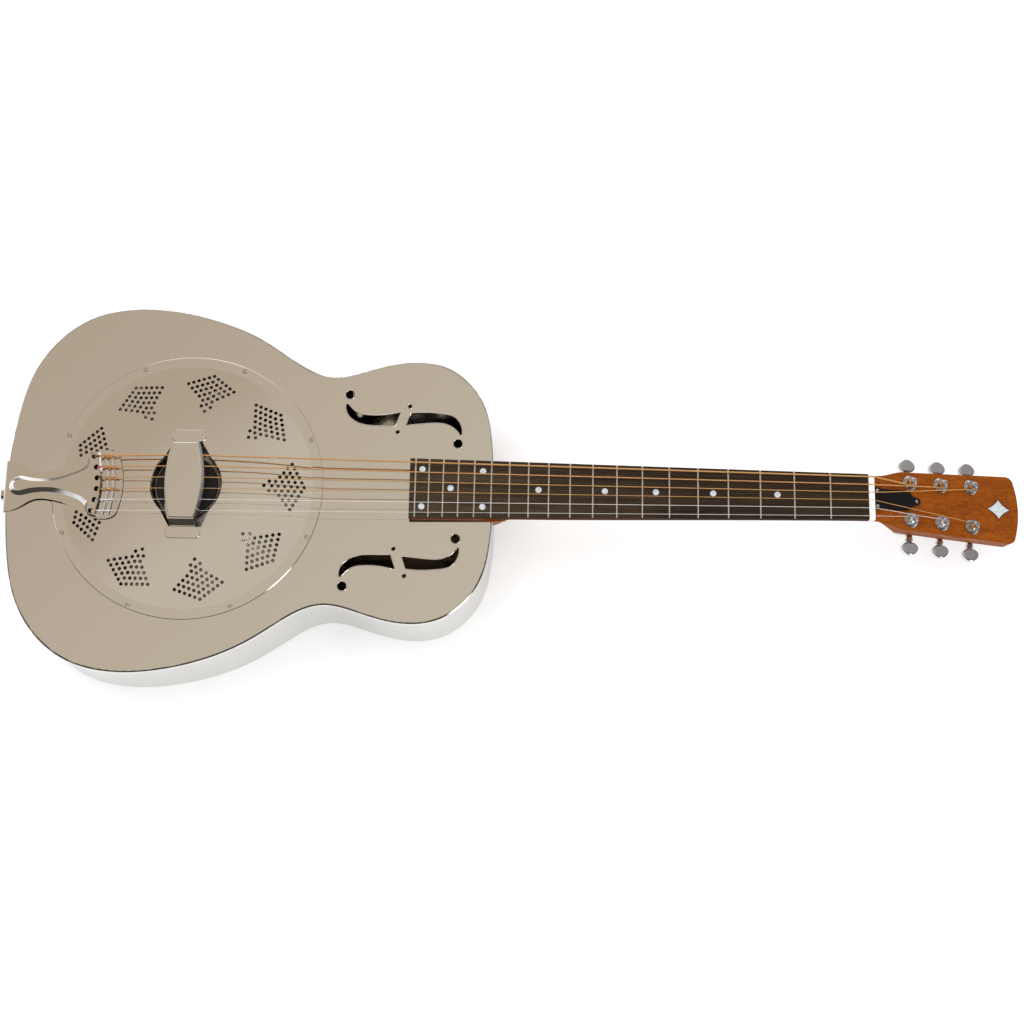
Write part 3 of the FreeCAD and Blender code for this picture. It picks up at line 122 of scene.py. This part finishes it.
class Shader(Nodes):
    """A node material round one Principled BSDF, with patterns in the object's own coordinates."""

    def __init__(self, name):
        self.material = bpy.data.materials.new(name)
        self.material.use_nodes = True
        super().__init__(self.material.node_tree)
        self.bsdf = self.tree.nodes["Principled BSDF"]

    def set(self, **values):
        for key, value in values.items():
            self.bsdf.inputs[key.replace("_", " ")].default_value = value

    def feed(self, source, name):
        self.link(source, self.bsdf.inputs[name])

    def place(self):
        return self.node("ShaderNodeTexCoord").outputs["Object"]

    def stretched(self, *scale):
        mapping = self.node("ShaderNodeMapping", Scale=scale)
        self.link(self.place(), mapping.inputs["Vector"])
        return mapping.outputs["Vector"]

    def noise(self, vector, scale, detail, roughness, distortion=0.0):
        made = self.node("ShaderNodeTexNoise", Scale=scale, Detail=detail, Roughness=roughness,
                         Distortion=distortion)
        self.link(vector, made.inputs["Vector"])
        return made.outputs["Fac"]

    def wave(self, kind, scale, distortion=0.0):
        """Rings round the Z axis, or bands across X."""
        made = self.node("ShaderNodeTexWave", wave_type=kind, rings_direction="Z", bands_direction="X",
                         Scale=scale, Distortion=distortion)
        self.link(self.place(), made.inputs["Vector"])
        return made.outputs["Fac"]

    def ramp(self, factor, *stops):
        made = self.node("ShaderNodeValToRGB")
        elements = made.color_ramp.elements
        while len(elements) < len(stops):
            elements.new(0.5)
        for element, (position, rgb) in zip(elements, stops):
            element.position = position
            element.color = colour(*rgb)
        self.link(factor, made.inputs["Fac"])
        return made.outputs["Color"]

    def bump(self, height, strength, distance):
        made = self.node("ShaderNodeBump", Strength=strength, Distance=distance)
        self.link(height, made.inputs["Height"])
        self.feed(made.outputs["Normal"], "Normal")


# ---- materials --------------------------------------------------------------------------------------------
# colour of the painted shade in the corners and crevices of plated metal
CREVICE_SHADE = (0.10, 0.095, 0.10)
HANDLED_FROM, HANDLED_TO = 0.26, 0.48  # along X, m: handling darkens the board over this stretch


def plated_metal(name, base, shade, roughness, streak=0.02, crevice_shade_reach=0.0):
    """Polished plate: near-mirror with faint polishing marks, cloudy tarnish and painted shade in its
    corners.
    """
    s = Shader(name)
    clouds = s.noise(s.place(), 9.0, 5.0, 0.6)
    tint = s.mix(colour(*base), colour(*shade), s.remap(clouds, 0.35, 0.7))
    if crevice_shade_reach:
        # painted shade: where ambient occlusion finds a corner or crevice, the plate is darkened towards a
        # dark grey
        openness = s.node("ShaderNodeAmbientOcclusion", samples=4, Distance=crevice_shade_reach).outputs["AO"]
        tint = s.mix(colour(*CREVICE_SHADE), tint, s.remap(openness, 0.0, 1.0, 0.25, 0.85))
    s.feed(tint, "Base Color")
    marks = s.noise(s.stretched(1, 14, 1), 60.0, 6.0, 0.7)
    s.feed(s.remap(marks, roughness, roughness + streak), "Roughness")
    s.set(Metallic=1.0)
    s.bump(s.noise(s.place(), 260.0, 3.0, 0.6), 0.02, 0.0002)
    return s.material


def spun_aluminium(name, dark, bright):
    """Spun sheet: fine rings round the cone's axis."""
    s = Shader(name)
    rings = s.wave("RINGS", 420.0, 0.4)
    s.feed(s.ramp(rings, (0.0, dark), (1.0, bright)), "Base Color")
    s.feed(s.remap(rings, 0.10, 0.22), "Roughness")
    s.set(Metallic=1.0)
    s.bump(rings, 0.3, 0.0002)
    return s.material


def wood(name, dark, mid, light, grain, roughness, coat=0.0, pores=0.6, specular=0.4, handled=None):
    """Straight grain along X: long fibres, broader bands and short dark pores, darker where it is handled."""
    s = Shader(name)
    fibres = s.noise(s.stretched(0.012, 1.0, 1.0), grain, 8.0, 0.62, 0.3)
    bands = s.noise(s.stretched(0.05, 1.0, 1.0), grain * 0.16, 3.0, 0.5, 0.6)
    pits = s.noise(s.stretched(0.05, 1.0, 1.0), grain * 3.2, 2.0, 0.5)
    shade = s.mix(s.ramp(fibres, (0.3, dark), (0.5, mid), (0.72, light)),
                  s.ramp(bands, (0.3, dark), (0.7, light)), 0.35)
    shade = s.mix(shade, colour(*[c * 0.35 for c in dark]), s.remap(pits, 0.0, pores, 0.62, 0.70))
    if handled:
        along = s.node("ShaderNodeSeparateXYZ")
        s.link(s.place(), along.inputs[0])
        worn = s.remap(along.outputs["X"], 0.0, 1.0, HANDLED_FROM, HANDLED_TO)
        shade = s.mix(shade, colour(*handled), worn, "MULTIPLY")
    s.feed(shade, "Base Color")
    s.feed(s.remap(fibres, roughness, roughness + 0.12), "Roughness")
    s.set(Coat_Weight=coat, Coat_Roughness=0.08, Specular_IOR_Level=specular)
    s.bump(fibres, 0.12 if coat else 0.3, 0.0002)
    return s.material


def plain_coat(name, base, second, scale, roughness, specular=0.5):
    """Moulded plastic, bone or pearl: slight mottling and fine surface texture."""
    s = Shader(name)
    mottle = s.noise(s.place(), scale, 5.0, 0.6)
    s.feed(s.ramp(mottle, (0.3, base), (0.7, second)), "Base Color")
    s.feed(s.remap(mottle, roughness, roughness + 0.1), "Roughness")
    s.set(Specular_IOR_Level=specular)
    s.bump(s.noise(s.place(), scale * 20, 2.0, 0.5), 0.05, 0.0001)
    return s.material


def wire(name, base, groove_shade, pitch, metallic):
    """Wrapped or drawn wire: rings across the string's length, with painted shade in the grooves between
    them.
    """
    s = Shader(name)
    turns = s.wave("BANDS", 1.0 / (pitch * 6.28))
    # painted shade: the colour between the turns is a darker copy of the wire's colour
    s.feed(s.ramp(turns, (0.0, groove_shade), (0.6, base)), "Base Color")
    s.set(Metallic=metallic, Roughness=0.34)
    s.bump(turns, 0.5, pitch * 0.3)
    return s.material


def thread(name, base):
    """Silk wound round a string's end: fine dull ribs of dyed thread, with painted shade between the ribs."""
    s = Shader(name)
    ribs = s.wave("BANDS", 520.0, 1.5)
    # painted shade: between the ribs the dye colour is darkened to 0.4
    s.feed(s.ramp(ribs, (0.0, [c * 0.4 for c in base]), (0.7, base)), "Base Color")
    s.set(Roughness=0.8, Sheen_Weight=0.4)
    s.bump(ribs, 0.6, 0.0002)
    return s.material


# for each material slot of the record: how it is made, its colours, then the rest of its recipe
RECIPES = {
    "nickel_plate": (plated_metal, [(0.88, 0.87, 0.85), (0.83, 0.82, 0.80)], {"roughness": 0.045}),
    "nickel_screws": (plated_metal, [(0.78, 0.75, 0.70), (0.66, 0.62, 0.56)], {"roughness": 0.12}),
    # the chrome tuner parts get painted shade in their corners and crevices
    "chrome_tuner": (plated_metal, [(0.82, 0.82, 0.84), (0.74, 0.74, 0.77)],
                     {"roughness": 0.06, "crevice_shade_reach": 0.003}),
    "steel": (plated_metal, [(0.55, 0.55, 0.57), (0.42, 0.42, 0.44)], {"roughness": 0.28, "streak": 0.15}),
    "fret_wire": (plated_metal, [(0.92, 0.90, 0.88), (0.80, 0.78, 0.75)], {"roughness": 0.22}),
    "spun_aluminium": (spun_aluminium, [(0.62, 0.62, 0.64), (0.90, 0.90, 0.92)], {}),
    "mahogany": (wood, [(0.115, 0.022, 0.0004), (0.235, 0.050, 0.0010), (0.36, 0.096, 0.003)],
                 {"grain": 760.0, "roughness": 0.36, "coat": 0.04, "pores": 0.56, "specular": 0.10}),
    "maple": (wood, [(0.42, 0.27, 0.13), (0.60, 0.42, 0.23), (0.72, 0.54, 0.33)],
              {"grain": 500.0, "roughness": 0.45, "pores": 0.2}),
    "stained_maple": (wood, [(0.006, 0.005, 0.004), (0.010, 0.009, 0.008), (0.022, 0.020, 0.018)],
                      {"grain": 500.0, "roughness": 0.45}),
    "rosewood": (wood, [(0.016, 0.009, 0.005), (0.040, 0.025, 0.014), (0.090, 0.062, 0.036)],
                 {"grain": 900.0, "roughness": 0.55, "pores": 1.2, "specular": 0.12,
                  "handled": (0.62, 0.56, 0.52)}),
    "pearl": (plain_coat, [(0.40, 0.44, 0.47), (0.62, 0.66, 0.68)], {"scale": 380.0, "roughness": 0.22}),
    "bone": (plain_coat, [(0.82, 0.80, 0.74), (0.94, 0.92, 0.87)], {"scale": 160.0, "roughness": 0.35}),
    "black_plastic": (plain_coat, [(0.003, 0.003, 0.003), (0.007, 0.006, 0.006)],
                      {"scale": 90.0, "roughness": 0.3, "specular": 0.25}),
    # each string's second colour is the painted shade between its turns
    "plain_steel": (wire, [(0.94, 0.94, 0.92), (0.80, 0.80, 0.78)], {"pitch": 0.0006, "metallic": 0.45}),
    "bronze_wound": (wire, [(0.88, 0.50, 0.21), (0.54, 0.25, 0.075)], {"pitch": 0.0005, "metallic": 0.7}),
}
SOFT_EDGE = 28.0                       # edges below this angle are shaded smooth, degrees


def build_materials():
    return {name: make(name, *colours, **rest) for name, (make, colours, rest) in RECIPES.items()}


def smooth(piece):
    """Smooth shading across soft edges; large flat faces keep their own direction."""
    piece.data.shade_smooth()
    piece.data.set_sharp_from_angle(angle=math.radians(SOFT_EDGE))
    weigh = piece.modifiers.new("flat_faces_lead", "WEIGHTED_NORMAL")
    weigh.keep_sharp = True
    weigh.weight = 100


def dress(nodes, record, materials):
    """Every CAD node gets its slot's material, and smooth normals across its soft edges."""
    slots = {item["node"]: item["material_slot"] for item in record["subparts"]}
    for name, node in nodes.items():
        node.data.materials.clear()
        node.data.materials.append(materials[slots[name]])
        smooth(node)


# ---- mesh helpers -----------------------------------------------------------------------------------------
COIL_STEPS = 12                        # points in each turn of a twisted strand


def add_piece(name, shape, material, body=ROOT):
    vertices, faces = shape
    mesh = bpy.data.meshes.new(name)
    mesh.from_pydata(vertices, [], faces)
    mesh.materials.append(material)
    mesh.shade_smooth()
    piece = bpy.data.objects.new(name, mesh)
    bpy.context.scene.collection.objects.link(piece)
    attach(piece, body)
    return piece


def tube(points, radius, sides=8, closed=False):
    """Vertices and faces of a round tube along points, carried along without twist."""
    count = len(points)
    directions = [points[(k + 1) % count] - points[k - 1] for k in range(count)]
    if not closed:
        directions[0] = points[1] - points[0]
        directions[-1] = points[-1] - points[-2]
    normal = directions[0].orthogonal().normalized()
    vertices = []
    for point, along in zip(points, directions):
        along = along.normalized()
        normal = (normal - along * normal.dot(along)).normalized()
        side = along.cross(normal)
        for k in range(sides):
            a = math.tau * k / sides
            vertices.append(point + (normal * math.cos(a) + side * math.sin(a)) * radius)
    faces = []
    for row in range(count if closed else count - 1):
        first = row * sides
        second = (row + 1) % count * sides
        for k in range(sides):
            n = (k + 1) % sides
            faces.append((first + k, first + n, second + n, second + k))
    if not closed:
        faces.append(tuple(reversed(range(sides))))
        faces.append(tuple(range((count - 1) * sides, count * sides)))
    return vertices, faces


def joined(shapes):
    vertices, faces = [], []
    for more_vertices, more_faces in shapes:
        start = len(vertices)
        vertices += more_vertices
        faces += [tuple(index + start for index in face) for face in more_faces]
    return vertices, faces


def coil_round(start, end, radius, pitch, phase):
    """Points of a helix wound round the straight line from start to end."""
    along = (end - start).normalized()
    first = along.orthogonal().normalized()
    second = along.cross(first)
    length = (end - start).length
    steps = int(length / pitch * COIL_STEPS)
    points = []
    for k in range(steps + 1):
        a = phase + math.tau * k / COIL_STEPS
        outwards = first * math.cos(a) + second * math.sin(a)
        points.append(start + along * length * k / steps + outwards * radius)
    return points


# ---- strings: silk, twisted ends and windings, all in mm --------------------------------------------------
DIAMETERS = [1.42, 1.07, 0.81, 0.61, 0.43, 0.33]       # bass to treble
SPINDLES = [1, 2, 3, 6, 5, 4]                          # the tuner each string winds on
SILK = [(0.10, 0.06, 0.03), (0.55, 0.01, 0.04), (0.02, 0.02, 0.02), (0.02, 0.22, 0.10), (0.16, 0.06, 0.38),
        (0.75, 0.25, 0.02)]
WOUND_STRINGS = 4
MIDDLE = 2.5                                           # index halfway between the third and fourth string

TAIL_FRAME = (Matrix.Translation(Vector((-170.4, -3.1, BODY_TOP + 0.4)))
              @ Matrix.Rotation(math.radians(-4.6), 4, "Y") @ Matrix.Rotation(math.radians(0.7), 4, "Z"))
TAIL_SPACING = 10.5
HOLE_ROW, HOLE_ROW_BEND = 88.9, 0.0064                 # the row of string holes is a shallow curve
HOLE_EDGE, TONGUE_TOP = 2.3, 5.2
SADDLE_SPACING, SADDLE_SHIFT = 10.7, -1.0
SADDLE_TOP, SADDLE_CROWN = 17.2, 800.0

SILK_REACH = (-0.4, 0.6, 1.6, 2.6, 3.6, 4.4)           # along the string from the edge of its hole
SILK_THICKNESS = 0.2
TWIST_FROM, TWIST_TO = 3.6, 17.0
STRAND, STRAND_GAIN = 0.24, 0.16                       # a strand's radius grows with the string's
STRAND_PITCH = 4.2                                     # in strand radii
STRAND_SIDES = 6

POST_WAIST = 2.3
WINDING_LOW, WINDING_HIGH = 3.3, 6.9
WINDING_GAP, WINDING_PITCH = 0.04, 0.52                # clearance to the post, least pitch
WINDING_STEPS = 20                                     # points in each turn
WINDING_SIDES = 10
STUB = (1.0, -2.0, -4.4)                               # the string's end passes through the post


def string_slot(index):
    return "bronze_wound" if index < WOUND_STRINGS else "plain_steel"


def string_ends(index):
    """Where a string leaves its hole in the tailpiece, and where it crosses the saddle."""
    radius = DIAMETERS[index] / 2
    side = MIDDLE - index
    y = side * TAIL_SPACING
    leaving = TAIL_FRAME @ Vector((HOLE_ROW - HOLE_ROW_BEND * y * y + HOLE_EDGE - radius, y,
                                   TONGUE_TOP + radius))
    y = side * SADDLE_SPACING + SADDLE_SHIFT
    crossing = Vector((0.0, y, BODY_TOP + SADDLE_TOP - y * y / SADDLE_CROWN + radius))
    return leaving, crossing


def add_string_ends(materials):
    """Dyed silk where each string leaves the tailpiece, then two strands twisted round it."""
    for index, diameter in enumerate(DIAMETERS):
        leaving, crossing = string_ends(index)
        along = (crossing - leaving).normalized()
        radius = diameter / 2
        number = len(DIAMETERS) - index
        slot = string_slot(index)
        path = [(leaving + along * reach) * MM for reach in SILK_REACH]
        add_piece(f"silk_{number}", tube(path, (radius + SILK_THICKNESS) * MM),
                  thread(f"silk_{number}", SILK[index]))
        strand = STRAND + STRAND_GAIN * radius
        start = (leaving + along * TWIST_FROM) * MM
        end = (leaving + along * TWIST_TO) * MM
        strands = []
        for phase in (0.0, math.pi):
            coil = coil_round(start, end, (radius + strand) * MM, STRAND_PITCH * strand * MM, phase)
            strands.append(tube(coil, strand * MM, STRAND_SIDES))
        add_piece(f"twisted_end_{number}", joined(strands), materials[slot])


def add_windings(record, materials):
    """Each string wraps its post, climbs to the hole and ends in a clipped stub; it turns with the post."""
    joints = {joint["name"]: joint for joint in record["behaviour"]["joints"]}
    for index, number in enumerate(SPINDLES):
        joint = joints[f"tuner_{number}_post_turn"]
        centre = Vector(joint["pos_m"])
        up = Vector(joint["axis"])
        across = Vector((0, 1 if number <= 3 else -1, 0))
        ahead = Vector((0, 1, 0)).cross(up)
        radius = DIAMETERS[index] / 2
        reach = POST_WAIST + radius + WINDING_GAP
        low = WINDING_LOW + radius
        turns = max(2, round((WINDING_HIGH - low) / max(2.1 * radius, WINDING_PITCH)))
        steps = WINDING_STEPS * turns + WINDING_STEPS // 4
        places = []
        for k in range(steps + 1):
            a = math.tau * (k / WINDING_STEPS - 0.25)
            places.append((reach * math.cos(a), reach * math.sin(a), low + (WINDING_HIGH - low) * k / steps))
        places += [(x, 0.0, WINDING_HIGH) for x in (reach - 0.5, *STUB)]
        points = [centre + (ahead * x + across * y + up * z) * MM for x, y, z in places]
        slot = string_slot(index)
        made = add_piece(f"winding_{number}", tube(points, radius * 0.98 * MM, WINDING_SIDES),
                         materials[slot], f"tuner_{number}_spindle")
        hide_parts(f"tuner_{number}_winding")


# ---- trim, in mm ------------------------------------------------------------------------------------------
NECK_ANGLE = math.radians(0.533)
HEAD_ANGLE = math.radians(14.533)
NUT_X = 637.5
NECK_BEND_X = 200.0                                    # the fretboard's top is 10 mm above the body here
HEAD_FRAME = (Matrix.Translation(Vector((NUT_X, 0,
                                         BODY_TOP + 10.0 - math.tan(NECK_ANGLE) * (NUT_X - NECK_BEND_X))))
              @ Matrix.Rotation(NECK_ANGLE, 4, "Y") @ Matrix.Translation(Vector((5.4, 0, -6.0)))
              @ Matrix.Rotation(HEAD_ANGLE - NECK_ANGLE, 4, "Y"))

BEAD_RING, BEAD_HEIGHT, BEAD_RADIUS = 29.6, BODY_TOP + 1.0, 0.5
BEAD_STEPS = 96
FLAT = 0.00002                                         # how far from its plane a flat face may be, m
SOUND_HOLES_FROM, SOUND_HOLES_TO = 0.13, 0.30          # along X, m
ROLL_DEPTH, ROLL_RADIUS = 0.35, 0.55
INLAY_X = 129.5                                        # from the nut end of the headstock
LOZENGE_SIDES = 64
LOZENGE_HOLLOW = 0.8                                   # below 1 the sides curve inwards


def add_cone_bead(materials):
    """Bright rolled bead on the cone round the biscuit."""
    ring = []
    for k in range(BEAD_STEPS):
        a = math.tau * k / BEAD_STEPS
        ring.append(Vector((BEAD_RING * math.cos(a), BEAD_RING * math.sin(a), BEAD_HEIGHT)) * MM)
    add_piece("cone_bead", tube(ring, BEAD_RADIUS * MM, 10, closed=True), materials["spun_aluminium"])


def flat_outlines(node, height):
    """Closed outlines of the faces of a node that lie flat at a height, as lists of points."""
    corners = [tuple(round(c, 6) for c in vertex.co) for vertex in node.data.vertices]
    uses = {}
    for face in node.data.polygons:
        loop = [corners[index] for index in face.vertices]
        if all(abs(corner[2] - height) < FLAT for corner in loop):
            for edge in zip(loop, loop[1:] + loop[:1]):
                uses.setdefault(tuple(sorted(edge)), []).append(edge)
    following = {edges[0][0]: edges[0][1] for edges in uses.values() if len(edges) == 1}
    outlines = []
    while following:
        start, place = following.popitem()
        outline = [start]
        while place != start and place in following:
            outline.append(place)
            place = following.pop(place)
        outlines.append([Vector(point) for point in outline])
    return outlines


def add_rolled_edges(materials, top):
    """The sheet is rolled over round the f-holes, which catches the light."""
    drop = Vector((0, 0, ROLL_DEPTH)) * MM
    rolls = []
    for outline in flat_outlines(top, BODY_TOP * MM):
        low = min(point.x for point in outline)
        high = max(point.x for point in outline)
        if low > SOUND_HOLES_FROM and high < SOUND_HOLES_TO and len(outline) > 8:
            rolls.append(tube([point - drop for point in outline], ROLL_RADIUS * MM, closed=True))
    add_piece("rolled_edges", joined(rolls), materials["nickel_plate"])


def lozenge(length, width, height, thickness):
    """Flat plate with four hollow sides, in the headstock's frame, with a small bevel."""
    vertices = []
    for lift, shrink in ((0.0, 0.0), (thickness * 0.6, 0.0), (thickness, 0.25)):
        for k in range(LOZENGE_SIDES):
            a = math.tau * k / LOZENGE_SIDES
            spread = abs(math.cos(a)) ** LOZENGE_HOLLOW + abs(math.sin(a)) ** LOZENGE_HOLLOW
            reach = spread ** (-1 / LOZENGE_HOLLOW)
            place = Vector((INLAY_X + (length - shrink) * reach * math.cos(a),
                            (width - shrink) * reach * math.sin(a), height + lift))
            vertices.append(HEAD_FRAME @ place * MM)
    faces = []
    for row in (0, LOZENGE_SIDES):
        for k in range(LOZENGE_SIDES):
            n = (k + 1) % LOZENGE_SIDES
            faces.append((row + k, row + n, row + LOZENGE_SIDES + n, row + LOZENGE_SIDES + k))
    faces.append(tuple(range(2 * LOZENGE_SIDES, 3 * LOZENGE_SIDES)))
    return vertices, faces


def add_head_inlay(materials):
    """Pearl lozenge with a dark border near the headstock's tip."""
    add_piece("inlay_border", lozenge(13.0, 10.6, -0.02, 0.06), materials["black_plastic"])
    add_piece("inlay", lozenge(11.6, 9.3, 0.0, 0.09), materials["pearl"])


# ---- studio -----------------------------------------------------------------------------------------------
FLOOR_SIZE = 40.0
FLOOR_GAP = 0.0005
FLOOR_GLOW = 0.18                      # lifts the floor to white in the picture alone

# the room as the polished metal mirrors it
CEILING = (-0.12, 0.27, 0.95)          # middle of the pale ceiling, seen from the guitar
CEILING_LOW, CEILING_HIGH = 0.60, 0.86
CEILING_NEAR = (0.60, 0.53, 0.43)
CEILING_FAR = (0.49, 0.40, 0.305)
DARKER_SIDE = (-0.7, 0.7, 0.0)         # the ceiling goes from its near to its far colour this way
FADE_FROM, FADE_TO = 0.12, 0.50
WALL = (0.065, 0.056, 0.047)
BACK_WALL = (0.30, 0.27, 0.235)        # the wall on the bass side is lighter
BACK_FROM, BACK_TO = -0.05, 0.50
FLOOR_SEEN = (0.95, 0.95, 0.95)
FLOOR_EDGE, WALL_EDGE = -0.02, 0.15    # the floor sweeps up into the wall between these heights

# soft boxes and pale patches on the walls: direction, inner and outer angle, colour
PATCHES = [
    ((0.62, -0.52, 0.59), 8, 13, (7.0, 6.8, 6.4)),
    ((0.70, 0.34, 0.64), 12, 25, (0.06, 0.07, 0.11)),
    ((-0.15, 0.96, 0.15), 12, 20, (0.90, 0.90, 0.95)),
    ((-0.90, 0.20, 0.36), 14, 34, (0.12, 0.11, 0.10)),
    ((1.00, 0.20, 0.02), 8, 26, (0.13, 0.11, 0.13)),
]
STUDIO_LIGHT = 1.12                    # the even white light on everything that is not a mirror

# area lights: position, target, size, power
LIGHTS = {
    "key": ((-0.6, 0.9, 2.2), (0.2, 0.0, 0.0), (1.8, 1.4), 14.0),
    "fill": ((1.2, -1.6, 1.6), (0.3, 0.0, 0.0), (2.0, 1.4), 8.0),
}

CAMERA_PLACE = (320.16, -429.39, 1661.40)              # mm
CAMERA_ACROSS = (0.9998, 0.01945, -0.00452)
CAMERA_AHEAD = (-0.00928, 0.25213, -0.96765)
CAMERA_LENS = 61.17
CAMERA_SENSOR = 36.0


def add_floor(height):
    mesh = bpy.data.meshes.new("floor")
    corners = [(x * FLOOR_SIZE, y * FLOOR_SIZE, height) for x, y in ((-1, -1), (1, -1), (1, 1), (-1, 1))]
    mesh.from_pydata(corners, [], [(0, 1, 2, 3)])
    floor = bpy.data.objects.new("floor", mesh)
    bpy.context.scene.collection.objects.link(floor)
    s = Shader("studio_floor")
    mottle = s.noise(s.place(), 30.0, 3.0, 0.5)
    s.feed(s.ramp(mottle, (0.3, (0.86, 0.86, 0.86)), (0.7, (0.88, 0.88, 0.88))), "Base Color")
    s.set(Roughness=0.9, Specular_IOR_Level=0.1, Emission_Color=colour(1, 1, 1))
    in_picture = s.node("ShaderNodeLightPath").outputs["Is Camera Ray"]
    s.feed(s.remap(in_picture, 0.0, FLOOR_GLOW), "Emission Strength")
    mesh.materials.append(s.material)


def add_world():
    """Mirrors show a warm ceiling, dark walls and a white floor; everything else gets even white light."""
    world = bpy.data.worlds.new("studio")
    bpy.context.scene.world = world
    world.use_nodes = True
    world.node_tree.nodes.clear()
    w = Nodes(world.node_tree)
    direction = w.node("ShaderNodeTexCoord").outputs["Generated"]
    far_side = w.graded(w.dot(direction, DARKER_SIDE), FADE_FROM, FADE_TO)
    ceiling = w.mix(colour(*CEILING_NEAR), colour(*CEILING_FAR), far_side)
    at_back = w.graded(w.dot(direction, (0, 1, 0)), BACK_FROM, BACK_TO)
    wall = w.mix(colour(*WALL), colour(*BACK_WALL), at_back)
    overhead = w.graded(w.dot(direction, CEILING), CEILING_LOW, CEILING_HIGH)
    above_floor = w.graded(w.dot(direction, (0, 0, 1)), FLOOR_EDGE, WALL_EDGE)
    seen = w.mix(colour(*FLOOR_SEEN), w.mix(wall, ceiling, overhead), above_floor)
    for towards, inner, outer, rgb in PATCHES:
        seen = w.mix(seen, colour(*rgb), w.cone(direction, towards, inner, outer), "ADD")
    mirrored = w.node("ShaderNodeBackground")
    w.link(seen, mirrored.inputs["Color"])
    plain = w.node("ShaderNodeBackground", Color=colour(1, 1, 1), Strength=STUDIO_LIGHT)
    choice = w.node("ShaderNodeMixShader")
    w.link(w.node("ShaderNodeLightPath").outputs["Is Glossy Ray"], choice.inputs["Fac"])
    w.link(plain.outputs[0], choice.inputs[1])
    w.link(mirrored.outputs[0], choice.inputs[2])
    w.link(choice.outputs[0], w.node("ShaderNodeOutputWorld").inputs["Surface"])


def add_lights():
    """Soft area lights that the polished metal does not mirror."""
    for name, (position, target, size, power) in LIGHTS.items():
        light = bpy.data.lights.new(name, "AREA")
        light.shape = "RECTANGLE"
        light.size, light.size_y = size
        light.energy = power
        made = bpy.data.objects.new(name, light)
        made.location = position
        made.rotation_mode = "QUATERNION"
        made.rotation_quaternion = (Vector(target) - Vector(position)).to_track_quat("-Z", "Y")
        made.visible_glossy = False
        bpy.context.scene.collection.objects.link(made)


def add_camera():
    """Nearly straight above, tipped towards the treble side, with the whole instrument across the picture."""
    across = Vector(CAMERA_ACROSS).normalized()
    ahead = Vector(CAMERA_AHEAD).normalized()
    up = across.cross(ahead).normalized()
    data = bpy.data.cameras.new("camera")
    data.sensor_width = CAMERA_SENSOR
    data.lens = CAMERA_LENS
    data.clip_start, data.clip_end = 0.05, 100.0
    camera = bpy.data.objects.new("camera", data)
    turn = Matrix((across, up, -ahead)).transposed()
    camera.matrix_world = Matrix.Translation(Vector(CAMERA_PLACE) * MM) @ turn.to_4x4()
    bpy.context.scene.collection.objects.link(camera)
    bpy.context.scene.camera = camera


materials = build_materials()
dress(frame["nodes"], frame["record"], materials)
add_string_ends(materials)
add_windings(frame["record"], materials)
add_cone_bead(materials)
add_rolled_edges(materials, frame["nodes"]["body_top"])
add_head_inlay(materials)
add_floor(cad_box[0].z - FLOOR_GAP)
add_world()
add_lights()
add_camera()
bpy.context.scene.view_settings.view_transform = "Standard"
